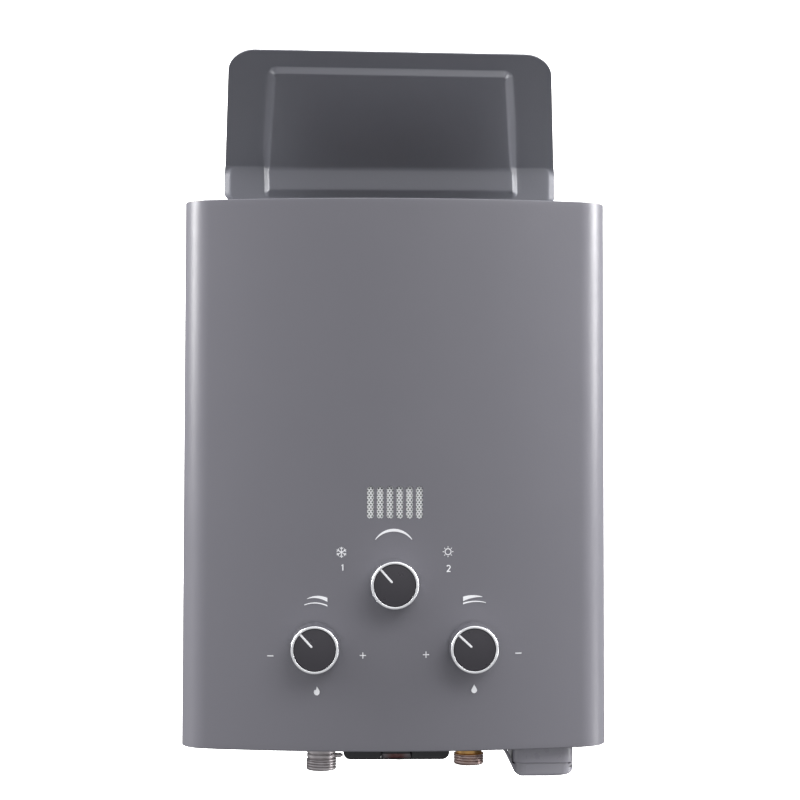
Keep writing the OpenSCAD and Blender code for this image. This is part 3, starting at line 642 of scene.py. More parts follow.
def build_hood():
    # columns: (kind, fraction) resolved per row
    fr = []
    fr += [("e", i / 14) for i in range(14)]                       # outer 6.5 mm, turned back on the riser
    fr += [("f", i / 7) for i in range(7)]                         # flange to the panel
    fr += [("b", i / 12) for i in range(12)]                       # side slope of the panel
    half = fr + [("i", i / 26) for i in range(26)] + [("i", 1.0)]
    rows_s = []
    rb = 7.0
    rows_s += [("s", S_BOT + rb * (1 - cos(pi / 2 * i / 8)) if i else S_BOT) for i in range(3)]
    rows_s += [("s", B_OUT + (B_IN - B_OUT) * i / 14) for i in range(15)]
    rows_s += [("u", i / 6) for i in range(1, 6)]
    rows_s += [("q", -1 + 2 * i / 14) for i in range(15)]
    rows_s += [("v", i / 24) for i in range(1, 24)]
    rows_s += [("s", 83.5 + (T_OUT - 83.5) * i / 28) for i in range(29)]
    rows_s += [("s", 91.0), ("s", 92.6)] + [("s", VISOR_LEN - 18 + 18 * sin(rad(a))) for a in (30, 37, 44, 51, 58, 65, 71, 76, 80, 84, 87, 90)]
    fixed = sorted({round(v, 4) for k, v in rows_s if k == "s" and v < B_OUT})
    bm = bmesh.new()
    grid = []
    for kind, val in [("s", v) for v in fixed] + [r for r in rows_s if not (r[0] == "s" and r[1] < B_OUT - 1e-6)]:
        row = []
        for side in (-1, 1):
            pts = []
            for ck, cv in half:
                # the softness of the fold grows up the side slope of the panel
                soft = {"e": 0.0, "f": 0.0, "b": ease(cv), "i": 1.0}[ck]
                L = 1.0 + 3.5 * soft
                s = {"s": lambda: val, "q": lambda: val * L, "u": lambda: B_IN + (-L - B_IN) * val, "v": lambda: L + (83.5 - L) * val}[kind]()
                w = w_half(s, side)
                po, pn = min(p_out(s, side), w - 8.0), p_in(s, side)
                if ck == "e":
                    x = w - 6.5 * cv
                elif ck == "f":
                    x = (w - 6.5) + (po - (w - 6.5)) * cv
                elif ck == "b":
                    x = po + (pn - po) * cv
                else:
                    x = pn * (1 - cv)
                sv = s - 0.013 * side * x * min(1.0, s / 90) if s > 0 else s
                (y, z), (ny, nz) = hood_curve(sv, L)
                h = HH * lift(side * x, s)
                xx, yy, zz = x, y + ny * h, z + nz * h
                # the ends of the riser curl back
                if s < -0.3 and x > w - 6.5:
                    k = max(0.0, min(1.0, (-0.3 - s) / 2.4))
                    k = k * k * (3 - 2 * k)
                    a, top, rb = x - (w - 6.5), 0.56 * k, 3.6
                    if top > 1e-3:
                        b = min(a / rb, top)
                        rest = max(0.0, a - rb * top)
                        xx = (w - 6.5) + rb * sin(b) + rest * cos(top)
                        yy = y + rb * (1 - cos(b)) + rest * sin(top)
                pts.append((HOOD_X + side * xx, yy, zz))
            row += pts if side < 0 else pts[-2::-1]
        grid.append(verts(bm, row))
    grid_faces(bm, grid)
    bmesh.ops.remove_doubles(bm, verts=bm.verts, dist=0.003)
    bmesh.ops.dissolve_degenerate(bm, edges=bm.edges, dist=0.002)
    ob = from_bm("rain_hood_sheet", bm, [HOOD_PAINT_DARKENED], 50)
    me = ob.data
    if sum(p.normal.y * p.area for p in me.polygons) > 0:
        me.flip_normals()
    m = ob.modifiers.new("sheet", "SOLIDIFY")
    m.thickness, m.offset, m.use_quality_normals = 0.0012, -1, True
    bake(ob, 38)
    own(ob, "root", "rain_hood", slot="hood_paint")
    # the leg and its foot on the deck
    bm = bmesh.new()
    prof = [(-21.98, 199.0), (-21.98, 192), (-21.98, 188)]
    R = 2.4
    for i in range(9):
        a = pi / 2 * i / 8
        prof.append((-21.98 + R * (1 - cos(a)), 184.5 + R - R * sin(a)))
    prof += [(-15, 184.5), (-8, 184.5), (-5, 184.5)]
    rows = []
    for y, z in prof:
        rows.append(verts(bm, [(HOOD_X - 86 + 172 * i / 40, y, z) for i in range(41)]))
    grid_faces(bm, rows)
    leg = from_bm("rain_hood_foot", bm, [HOOD_PAINT_DARKENED], 50)
    me = leg.data
    if sum(p.normal.y * p.area for p in me.polygons) > 0:
        me.flip_normals()
    m = leg.modifiers.new("sheet", "SOLIDIFY")
    m.thickness, m.offset, m.use_quality_normals = 0.00115, -1, True
    bake(leg, 38)
    bm = bmesh.new()
    for x in (-66, 4, 66):
        extrude_poly(bm, circle(HOOD_X + x, -13, 2, 24), lambda u, v, d: (u, v, d), 180, 190)
    cut(leg, from_bm("cutter", bm, [HOOD_PAINT_DARKENED]), angle=38)
    own(leg, "root", slot="hood_paint")


build_hood()


# ---------------------------------------------------------------- knobs
def arc_pts(cx, cz, r, a0, a1, n):
    return [(cx + r * cos(rad(a0 + (a1 - a0) * i / n)), cz + r * sin(rad(a0 + (a1 - a0) * i / n))) for i in range(n + 1)]


def build_knob(key):
    x0, yb, z0, tilt = KNOBS[key]

    def place(x, y, z):
        return (x0 + x, yb - z, z0 + y)
    bm = bmesh.new()
    prof = [(3.05, 0.6), (5.2, 0.6), (5.2, 14.6), (14.2, 14.6), (14.2, 0.3), (14.5, 0.0), (16.0, 0.0)]
    prof += arc_pts(16.1, 0.55, 0.55, -90, 0, 5)[1:] + [(16.65, 1.6), (16.6, 4.0), (16.5, 8.0), (16.25, 12.5), (15.88, 17.2)]
    prof += arc_pts(15.4, 18.4, 0.36, 5, 62, 5)
    k = len(prof)
    prof += [(15.5, 18.82), (15.38, 18.92), (15.15, 18.97), (14.6, 18.97), (14.4, 18.96)] + arc_pts(14.3, 18.72, 0.24, 90, 180, 4)[1:] + [(14.06, 18.3), (14.4, 18.0)]
    k2 = len(prof) - 1
    prof += [(14.4, 16.6), (0, 16.6), (0, 15.6), (3.05, 15.6)]
    prof = [(max(0.0, r), z) for r, z in prof]
    mats = [1 if k - 1 <= i < k2 else 0 for i in range(len(prof))]
    lathe(bm, prof, 128, place, mats)
    shell = from_bm(key + "_knob_rim", bm, [CHROME, RINGM], 32, weld=0.002)
    own(shell, key + "_knob", key + "_knob_shell", slot="knob_chrome")
    bm = bmesh.new()
    top = [(r, 18.15 + 0.9 * (1 - (r / 13.7) ** 2)) for r in (13.55, 12.5, 11, 9, 7, 5, 3, 1.5)]
    prof = [(0, 16.6), (14.32, 16.6), (14.32, 17.2), (14.05, 17.55), (13.95, 17.6), (13.85, 17.9)] + top + [(0, 19.05)]
    lathe(bm, prof, 128, place)
    cap = from_bm(key + "_knob_face", bm, [KNOBK], 32, weld=0.002)
    own(cap, key + "_knob", key + "_knob_cap", slot="knob_black")
    # the pointer, a painted bar let into the cap
    bm = bmesh.new()
    d = Vector((-sin(rad(tilt)), cos(rad(tilt))))
    e = Vector((d.y, -d.x))
    rows = []
    r_in = 2.4
    for i in range(25):
        r = r_in + (14.15 - r_in) * i / 24
        w = 0.68 * math.sqrt(max(0.0, 1 - max(0.0, (r_in + 0.68 - r) / 0.68) ** 2)) if r < r_in + 0.68 else 0.68
        w = max(w, 0.12)
        h = 18.15 + 0.9 * (1 - (r / 13.7) ** 2) if r < 13.5 else 18.05
        row = []
        for j, (f, up) in enumerate(((-1, -0.25), (-1, 0.05), (-0.8, 0.11), (0, 0.13), (0.8, 0.11), (1, 0.05), (1, -0.25))):
            p = d * r + e * (w * f)
            row.append(place(p.x, p.y, h + up))
        rows.append(verts(bm, row))
    grid_faces(bm, rows, closed=True)
    bm.faces.new(rows[0])
    bm.faces.new(rows[-1])
    bar = from_bm(key + "_pointer", bm, [WHITEM], 50)
    own(bar, key + "_knob")


for k in KNOBS:
    build_knob(k)


# ---------------------------------------------------------------- sight screen
def build_screen():
    bm = bmesh.new()
    holes = []
    j = 0
    v = -33.6
    while v < -5.5:
        u = -20.4 + (1.05 if j % 2 else 0)
        while u < 20.6:
            holes.append(circle(u, v, 0.64, 8, 0.2))
            u += 2.1
        v += 1.55
        j += 1
    plate_with_holes(bm, [(-23, -36.7), (23, -36.7), (23, -2.7), (-23, -2.7)], holes, lambda u, v, d: (u, d, v), -125.1, -124.5)
    ob = from_bm("sight_screen", bm, [SCREEN_PAINTED_WHITE], 30)
    own(ob, "root", "perforated_screen", slot="screen_metal")


build_screen()


# ---------------------------------------------------------------- threads and fittings
def tri(t):
    t -= math.floor(t)
    return 1 - abs(2 * t - 1)


def fitting(name, cx, cy, outer, bore, thread, mat, node, slot, raw=None, seg=120):
    """outer profile from the bottom up as (r, z), bore profile from the top down, thread = (z0, z1, pitch, depth)"""
    z0, z1, pitch, depth = thread

    def rmod(r, z, a):
        if not (z0 - 1e-6 <= z <= z1 + 1e-6) or r < bore + 0.5:
            return r
        f = min(1.0, (z - z0) / (pitch * 0.5), (z1 - z) / (pitch * 0.5))
        g = tri(z / pitch + a / (2 * pi))
        g = min(1.0, max(0.0, (g - 0.08) / 0.42))
        return r - depth * (1 - g) * max(0.0, f) - 0.05
    bm = bmesh.new()
    prof = []
    for (r0, a0), (r1, a1) in zip(outer, outer[1:]):
        prof.append((r0, a0))
        if abs(r0 - r1) < 1e-6 and a0 >= z0 - 1e-6 and a1 <= z1 + 1e-6:
            n = int((a1 - a0) / pitch * 10)
            prof += [(r0, a0 + (a1 - a0) * i / n) for i in range(1, n)]
    prof.append(outer[-1])
    prof += [(bore, outer[-1][1]), (bore, outer[0][1])]
    lathe(bm, prof, seg, lambda x, y, z: (cx + x, cy + y, z), None, rmod)
    ob = from_bm(name, bm, [mat, ORANGE], 40, weld=0.002)
    for p in ob.data.polygons:
        if raw and raw[0] < p.center.z * 1000 < raw[1] and hyp(p.center.x * 1000 - cx, p.center.y * 1000 - cy) > bore + 1:
            p.material_index = 1
    own(ob, "root", node, slot=slot)
    return ob


hot = fitting("hot_outlet_stub", *HOT, [(9.5, -207.3), (9.9, -207.1), (10.4775, -206.3), (10.4775, -199.9), (9.6, -199.6), (9.25, -199.2), (9.25, -198.9), (9.5, -198.6), (10.0, -198.4), (10.05, -198.1), (10.05, -196.4), (9.9, -196.1), (9.4, -196.0), (9.2, -195.8), (9.2, -195.5),
      (9.4, -195.3), (10.1, -195.2), (10.2, -194.9), (10.2, -193.4), (10.3, -192.9), (10.4, -192.6), (10.4, -187.4), (12.7, -187.3), (13, -187), (13, -184.5), (10.4, -184.4), (10.4, -177.2), (10.2, -177)],
      7.0, (-206.4, -199.9, 1.814, 0.6), NICKEL, "hot_outlet_fitting", "nickel_brass")
cold = fitting("cold_inlet_stub", *COLD, [(9.5, -203.9), (9.9, -203.7), (10.4775, -202.9), (10.4775, -196.4), (9.5, -196.1), (9.1, -195.8), (9.1, -193.9),
      (9.5, -193.55), (10.3, -193.5), (10.4, -193.2), (10.4, -187.4), (12.7, -187.3), (13, -187), (13, -184.5), (10.4, -184.4), (10.4, -176.2), (10.2, -176)],
      7.4, (-203.0, -196.4, 1.814, 0.6), AGED, "cold_inlet_fitting", "aged_brass", raw=(-196.5, -193.3))
gas = fitting("gas_inlet_stub", *GAS, [(5, -206.6), (5.2, -206.5), (7.0, -204.7), (7.3, -204.6), (7.9375, -204.0), (7.9375, -191.9), (9.6, -191.8), (10, -191.5),
      (10, -184.9), (9.6, -184.5), (6.5, -184.5), (6.5, -178.2), (6.3, -178)],
      3.6, (-204.1, -191.9, 1.411, 0.8), AGED, "gas_inlet_fitting", "aged_brass")


# ---------------------------------------------------------------- screws
def screw(name, x, y, z, up, r, h, r0, length):
    bm = bmesh.new()
    prof = [(r, 0), (r, h * 0.35)] + [(r * sin(rad(a)), h * 0.35 + h * 0.65 * cos(rad(a))) for a in (75, 60, 45, 30, 15)] + [(0, h), ]
    prof = [(0, -length), (r0 * 0.6, -length), (r0, -length + 1.2), (r0, 0)] + prof
    lathe(bm, prof, 40, lambda a, b, c: (x + a, y + b * up, z + c * up), closed=False)
    ob = from_bm(name, bm, [SCREWM], 35, weld=0.002)
    bm = bmesh.new()
    for a, b in ((r * 0.58, r * 0.13), (r * 0.13, r * 0.58)):
        extrude_poly(bm, [(x - a, y - b), (x + a, y - b), (x + a, y + b), (x - a, y + b)], lambda u, v, d: (u, v, z + d * up), h * 0.3, h + 1)
    c = from_bm("cutter", bm, [SCREWM], 35)
    m = c.modifiers.new("u", "REMESH")
    c.modifiers.remove(m)
    ob2 = ob
    m = ob2.modifiers.new("cut", "BOOLEAN")
    m.operation, m.solver, m.object, m.use_self = "DIFFERENCE", "EXACT", c, True
    bake(ob2, 35)
    bpy.data.objects.remove(c)
    return ob2


first = True
for i, x in enumerate((-90, 90)):
    for j, (z, up) in enumerate(((ZT, 1), (ZB, -1))):
        o = screw("cover_screw_%d%d" % (i, j), x, -106, z, up, 3.5, 1.2, 1.9, 7)
        own(o, "root", *(["cover_screws"] if first else []), slot="screw_steel")
        first = False
for i, x in enumerate((-66, 4, 66)):
    o = screw("hood_screw_%d" % i, HOOD_X + x, -13, 185.7, 1, 3.8, 2.2, 1.9, 7)
    own(o, "root", *(["hood_screws"] if i == 0 else []), slot="screw_steel")


# ---------------------------------------------------------------- battery box and lid
BX0, BX1, BY0, BY1 = 81.2, 122.6, -100.0, -24.0


def build_battery():
    bm = bmesh.new()
    R = 8.0

    def ring(o, z, r=R):
        return [(x, y, z) for x, y in rrect(BX0 + o, BX1 - o, BY0 + o, BY1 - o, max(0.6, r - o), 10)]
    lv = [ring(1.6, -131), ring(1.6, -197.6), ring(1.35, -198.0), ring(0.5, -198.0), ring(0.15, -197.85), ring(0, -197.5), ring(0, -190), ring(0, -184), ring(0, -129.6), ring(0.4, -129)]
    loft(bm, lv)
    # flange on the bottom plate
    f = [ring(0, -182.3, R), ring(-2, -182.3, R), ring(-2, -180.7, R), ring(-1.7, -180.5, R), ring(0, -180.5, R)]
    rows = [verts(bm, lv) for lv in f]
    grid_faces(bm, rows + [rows[0]], closed=True)
    for y in (-90, -40):
        pts = [(LID_AX - 1.8, -198.3)] + [(LID_AX + 1.8 * cos(rad(a)), LID_AZ + 1.8 * sin(rad(a))) for a in range(180, 361, 15)] + [(BX1, -197.9), (BX1 - 0.4, -197.2), (BX1 - 1.7, -197.2), (LID_AX - 1.8, -197.6)]
        extrude_poly(bm, pts, lambda u, v, d: (u, d, v), y, y + 5, 0.25, 2)
    ob = from_bm("battery_compartment", bm, [GREY_PLASTIC_LIGHTENED], 35)
    bm = bmesh.new()
    for y in (-90, -40):
        extrude_poly(bm, circle(LID_AX, LID_AZ, 1.03, 24), lambda u, v, d: (u, d, v), y - 1, y + 6)
    cut(ob, from_bm("cutter", bm, [GREY_PLASTIC_LIGHTENED]), angle=35)
    own(ob, "root", "battery_box", slot="grey_plastic")

    # the lid: a rounded section with rounded ends, hollow, with the hinge barrel at the right
    out = [(82.6, -198.15), (82.3, -198.45), (82.3, -202.6), (82.5, -203.7), (83.1, -204.9), (84.0, -205.9), (85.2, -206.6), (86.6, -206.95), (88.5, -207.0), (100, -207.0), (107, -206.9), (113, -206.5), (117.6, -205.9), (120.0, -205.2),
           (121.5, -204.4), (122.3, -203.5), (122.6, -202.5)]
    out += [(LID_AX + 1.8 * cos(rad(a)), LID_AZ + 1.8 * sin(rad(a))) for a in range(0, 121, 15)] + [(LID_AX - 2.2, -198.15)]
    bm = bmesh.new()
    rows = []

    def section(y, side, drop):
        """the section drawn in by side at both edges and raised by drop at the bottom"""
        row = []
        for x, z in out:
            x = max(BX0 + 1.1 + side, min(x, BX1 - side))
            if z < -201.5:
                z = max(z, -207 + drop)
            row.append((x, y, z))
        return row
    R = 8.0
    for a in (90, 80, 70, 61, 52, 44, 36, 28, 20, 12, 0):
        y = BY0 + R * (1 - sin(rad(a)))
        e = y - BY0
        rows.append(section(y, R * (1 - cos(rad(a))), 2.4 - math.sqrt(max(0.0, 2.4 ** 2 - max(0.0, 2.4 - e) ** 2)) if e < 2.4 else 0.0))
    rows += [section(y, 0, 0) for y in (-90, -80, -60, -40)]
    for a in (0, 20, 40, 60, 75, 90):
        rows.append(section(BY1 - 3.0 * (1 - sin(rad(a))) if a else BY1 - 3.0, 3.0 * (1 - cos(rad(a))), 2.0 * (1 - cos(rad(a)))))
    loft(bm, rows)
    lid = from_bm("battery_lid_shell", bm, [GREY_PLASTIC_LID_COPY], 35, weld=0.001)
    bm = bmesh.new()
    cav = rrect(BX0 + 2.9, LID_AX - 3.3, BY0 + 2.2, BY1 - 2.2, 6.0, 8)
    loft(bm, [[(x, y, -205.3) for x, y in cav], [(x, y, -197.0) for x, y in cav]])
    cut(lid, from_bm("cutter", bm, [GREY_PLASTIC_LID_COPY]), angle=35)
    bm = bmesh.new()
    for y in (-90, -40):
        loft(bm, [[(x, yy, z) for x, yy in ((LID_AX - 3.2, y - 0.35), (LID_AX + 5, y - 0.35), (LID_AX + 5, y + 5.35), (LID_AX - 3.2, y + 5.35))] for z in (-203, -197)])
    cut(lid, from_bm("cutter", bm, [GREY_PLASTIC_LID_COPY]), angle=35)
    bm = bmesh.new()
    extrude_poly(bm, circle(LID_AX, LID_AZ, 1.06, 24), lambda u, v, d: (u, d, v), -101, -23)
    cut(lid, from_bm("cutter", bm, [GREY_PLASTIC_LID_COPY]), angle=35)
    own(lid, "lid", "battery_lid", slot="grey_plastic")
    # latch arm
    bm = bmesh.new()
    arm = [(86.0, -206.8), (84.9, -206.7), (83.8, -206.15), (82.9, -205.3), (82.1, -204.2), (81.3, -202.7), (80.3, -200.6), (79.3, -198.2), (77.2, -194.2), (74.9, -189.9), (74.6, -189.2), (74.8, -188.8), (75.5, -188.6), (76.2, -188.8),
           (78.6, -193.0), (80.4, -196.2), (80.8, -197.2), (80.9, -198.6), (81.6, -199.3), (82.7, -199.5), (83.1, -203.0), (84.6, -205.4)]
    extrude_poly(bm, arm, lambda u, v, d: (u, d, v), -94, -78, 0.35, 3)
    for k in range(4):
        y = -92 + 4 * k
        pts = [(79.6, -199.5), (78.9, -197.4), (79.6, -197.1), (80.3, -199.2)]
        extrude_poly(bm, pts, lambda u, v, d: (u, d, v), y, y + 1.6, 0.2, 2)
    arm = from_bm("battery_lid_latch", bm, [GREY_PLASTIC_LID_COPY], 35)
    own(arm, "lid", slot="grey_plastic")


build_battery()


# ---------------------------------------------------------------- switch
def build_switch():
    bm = bmesh.new()
    pts = [(SW_X - 36.2, -184.5), (SW_X - 36.2, -190.6)] + [(SW_X - 31.2 + 5 * cos(rad(a)), -190.6 + 5 * sin(rad(a))) for a in range(195, 271, 15)]
    pts += [(SW_X + 31.2 + 5 * cos(rad(a)), -190.6 + 5 * sin(rad(a))) for a in range(270, 346, 15)] + [(SW_X + 36.2, -190.6), (SW_X + 36.2, -184.5)]
    extrude_poly(bm, pts, lambda u, v, d: (u, d, v), -98, -70, 0.7, 4)
    ob = from_bm("switch_mount", bm, [BLACKP], 32)
    bm = bmesh.new()
    loft(bm, [[(x, y, z) for x, y in rrect(SW_X - 10.56, SW_X + 10.56, -110, -79.8, 1.2, 5)] for z in (-190, -194.7)])
    cut(ob, from_bm("cutter", bm, [BLACKP]), angle=32)
    bm = bmesh.new()
    loft(bm, [[(x, y, z) for x, y in rrect(SW_X - 10.56, SW_X + 10.56, -96.6, -79.8, 1.2, 5)] for z in (-190.1, -200)])
    cut(ob, from_bm("cutter", bm, [BLACKP]), angle=32)
    bm = bmesh.new()
    loft(bm, [[(x, y, z) for x, y in rrect(SW_X - 9.6, SW_X + 9.6, -94.5, -81.5, 0.8, 5)] for z in (-180, -192)])
    cut(ob, from_bm("cutter", bm, [BLACKP]), angle=32)
    own(ob, "root", "switch_plate", slot="black_plastic")
    # housing: bezel and body with a hollow for the rocker
    bm = bmesh.new()
    o = [[(x, y, z) for x, y in rrect(SW_X - w, SW_X + w, SW_Y - d, SW_Y + d, r, 6)] for w, d, r, z in
         ((8.8, 5.8, 0.8, -181), (8.8, 5.8, 0.8, -191.8), (9.0, 6.0, 0.9, -192), (10.2, 7.2, 1.4, -192), (10.45, 7.45, 1.5, -191.75), (10.5, 7.5, 1.5, -190.0), (9.5, 6.4, 0.8, -190.0), (9.5, 6.4, 0.8, -172.2), (9.3, 6.2, 0.8, -172))]
    loft(bm, o)
    for x in (-6, 0, 6):
        loft(bm, [[(SW_X + x + a, SW_Y + b, z) for a, b in ((-0.4, -2.4), (0.4, -2.4), (0.4, 2.4), (-0.4, 2.4))] for z in (-172.1, -165.2)])
    ob = from_bm("switch_body", bm, [BLACKP], 32)
    own(ob, "root", "switch_housing", slot="black_plastic")
    # rocker: dished top, rounded, leaning by half its throw
    bm = bmesh.new()
    t = rad(9)

    def place(u, v, d):
        return (SW_X + u * cos(t) + v * sin(t), SW_Y + d, -189 - u * sin(t) + v * cos(t))
    top = [(8 - 16 * i / 16, -3.4 + 1.75 * (1 - (abs(8 - 16 * i / 16) / 8) ** 1.7)) for i in range(17)]
    pts = top[::-1] + [(7.6, 0), (7.3, 1.5), (-7.3, 1.5), (-7.6, 0)]
    extrude_poly(bm, pts, place, -5.4, 5.4, 0.4, 3)
    lathe(bm, [(0, -6.3), (1, -6.3), (1, 6.3), (0, 6.3)], 24, lambda x, y, z: place(x, y, z), closed=False)
    ob = from_bm("switch_red_rocker", bm, [REDP], 32)
    own(ob, "rocker", "switch_rocker", slot="red_plastic")
    # rain cover: soft translucent cap with a rim and a raised middle
    bm = bmesh.new()

    def rr(w, d, r, z):
        return [(x, y, z) for x, y in rrect(SW_X - w, SW_X + w, SW_Y - d, SW_Y + d, r, 8)]
    lv = [rr(8.9, 5.9, 1.2, -192.0), rr(8.9, 5.9, 1.2, -194.6), rr(8.2, 5.2, 1.2, -195.1), rr(5.2, 3.6, 1.4, -195.3), rr(4.6, 3.0, 1.4, -196.0), rr(2.0, 1.4, 0.9, -196.3)]
    inner = lv[::-1]
    outer = [rr(2.2, 1.6, 1.0, -196.95), rr(3.6, 2.6, 1.4, -196.85), rr(4.4, 3.3, 1.6, -196.5), rr(5.0, 3.9, 1.8, -195.9), rr(8.6, 5.6, 1.6, -195.65), rr(9.3, 6.3, 1.7, -195.45), rr(9.6, 6.6, 1.7, -195.2), rr(9.75, 6.75, 1.7, -194.6), rr(10.2, 7.2, 1.7, -194.2), rr(10.45, 7.45, 1.7, -193.8), rr(10.5, 7.5, 1.7, -193.2), rr(10.5, 7.5, 1.7, -192.0)]
    rows = [verts(bm, lv) for lv in outer[:8]]
    grid_faces(bm, rows, closed=True)
    bm.faces.new(rows[0])
    r2 = [verts(bm, lv) for lv in inner]
    grid_faces(bm, r2, closed=True)
    bm.faces.new(r2[0])
    last = verts(bm, rr(9.75, 6.75, 1.7, -192.0))
    grid_faces(bm, [rows[-1], last, r2[-1]], closed=True)
    ob = from_bm("switch_clear_cap", bm, [CLEAR], 40)
    own(ob, "root", "switch_rain_cover", slot="clear_silicone")
    bm = bmesh.new()
    ringp = [(9.8, 6.8, 1.7, -192.0), (9.8, 6.8, 1.7, -195.35), (9.9, 6.9, 1.7, -195.55), (10.2, 7.2, 1.8, -195.6), (10.4, 7.4, 1.9, -195.5), (10.5, 7.5, 2.0, -195.2), (10.5, 7.5, 2.0, -192.0)]
    rows = [verts(bm, rr(*q)) for q in ringp]
    grid_faces(bm, rows + [rows[0]], closed=True)
    ob = from_bm("switch_cap_rim", bm, [MILKY], 40)
    own(ob, "root", slot="clear_silicone")


build_switch()


# ---------------------------------------------------------------- back plate with pressed ribs
def build_back():
    def rr_dist(x, z, hw, hh, r):
        dx, dz = abs(x) - hw + r, abs(z) - hh + r
        return r - hyp(max(dx, 0), max(dz, 0)) - min(max(dx, dz), 0)

    def depth(x, z):
        d = 1.1 * ease(rr_dist(x, z, 118, 148, 14) / 4.0)
        for zc in (-74, 0, 74):
            d -= 1.05 * ease(rr_dist(x, z - zc, 92, 9, 9) / 3.0)
        return d
    edge_x = [118, 117, 116, 115, 114, 113]
    ribs_x = [92, 91, 90, 89, 88, 86, 84]
    half = sorted(set([0, 15, 30, 45, 60, 72, 80] + ribs_x + [95, 100, 104, 107, 110] + edge_x + [120, 125, 132, 138, 141, 142.8, 143.4]))
    xs = [-x for x in half[:0:-1]] + half
    zh = [148, 147, 146, 145, 144, 143, 140, 137, 134, 130, 122, 110, 95, 150, 156, 165, 175, 182, 184.4, 184.9]
    for zc in (0, 74):
        zh += [abs(zc + k) for k in (-9, -8, -7, -6, -5, -4, 4, 5, 6, 7, 8, 9, -12, 12, 0, 20, 30)]
    zh = sorted(set(zh))
    zs = [-z for z in zh if z > 0][::-1] + zh
    bm = bmesh.new()
    rows = [verts(bm, [(x, -depth(x, z), z) for x in xs]) for z in zs]
    grid_faces(bm, rows)
    ob = from_bm("wall_plate", bm, [ZINC], 30)
    me = ob.data
    if sum(p.normal.y * p.area for p in me.polygons) < 0:
        me.flip_normals()
    m = ob.modifiers.new("sheet", "SOLIDIFY")
    m.thickness, m.offset, m.use_quality_normals = 0.0012, -1, True
    bake(ob, 30)
    bm = bmesh.new()
    for x in (-100, 100):
        for z in (-165, 165):
            extrude_poly(bm, circle(x, z, 3.25, 32), lambda u, v, d: (u, d, v), -10, 10)
    key = [(3 * cos(rad(a)), 174 + 3 * sin(rad(a))) for a in range(0, 181, 15)] + [(6 * cos(rad(a)), 164 + 6 * sin(rad(a))) for a in range(120, 421, 12)]
    extrude_poly(bm, key, lambda u, v, d: (u, d, v), -10, 10)
    cut(ob, from_bm("cutter", bm, [ZINC]), angle=30)
    own(ob, "root", "back_plate", slot="zinc_sheet")
    bm = bmesh.new()
    for s in (-1, 1):
        pts = [(s * 141.6, -1.0), (s * 142.8, -1.0), (s * 142.8, -13.7), (s * 142.5, -14), (s * 141.9, -14), (s * 141.6, -13.7)]
        extrude_poly(bm, pts, lambda u, v, d: (u, v, d), -182.1, 182.1, 0.3, 2)
    ob = from_bm("wall_plate_flanges", bm, [ZINC], 30)
    own(ob, "root", slot="zinc_sheet")


build_back()


# ---------------------------------------------------------------- front markings, thin solids lying on the bowed face
def front_mark(name, polys, thick=0.22):
    bm = bmesh.new()
    for pts in polys:
        extrude_poly(bm, pts, lambda u, v, d: (u, front_y(u) + (0.25 if d else -thick), v), 0, 1)
    ob = from_bm(name, bm, [WHITEM], 30)
    own(ob, "root")


def band(path, width):
    """outline of a stroke of the given width (number or list) along a path"""
    n = len(path)
    w = width if isinstance(width, (list, tuple)) else [width] * n
    a, b = [], []
    for i, p in enumerate(path):
        q0, q1 = Vector(path[max(0, i - 1)]), Vector(path[min(n - 1, i + 1)])
        t = (q1 - q0).normalized()
        nrm = Vector((-t.y, t.x)) * (w[i] / 2)
        a.append((p[0] + nrm.x, p[1] + nrm.y))
        b.append((p[0] - nrm.x, p[1] - nrm.y))
    return a + b[::-1]


def ring_polys(cx, cz, r, w, n=36, a0=0, a1=360):
    k = n // 3
    out = []
    for s in range(3):
        lo, hi = a0 + (a1 - a0) * s / 3, a0 + (a1 - a0) * (s + 1) / 3
        out.append(band([(cx + r * cos(rad(lo + (hi - lo) * i / k)), cz + r * sin(rad(lo + (hi - lo) * i / k))) for i in range(k + 1)], w))
    return out


def digit(ch, cx, cz, h, w):
    k = h / 2
    if ch == "1":
        return [band([(cx - k * 0.42, cz + k * 0.55), (cx + 0.0, cz + k), ], w), band([(cx, cz + k + w / 2 * 0.6), (cx, cz - k)], w)]
    if ch == "2":
        arc = [(cx + k * 0.5 * cos(rad(a)), cz + k * 0.5 + k * 0.5 * sin(rad(a))) for a in range(160, -41, -20)]
        return [band(arc + [(cx - k * 0.5, cz - k)], w), band([(cx - k * 0.58, cz - k + w / 2), (cx + k * 0.6, cz - k + w / 2)], w)]
    return []


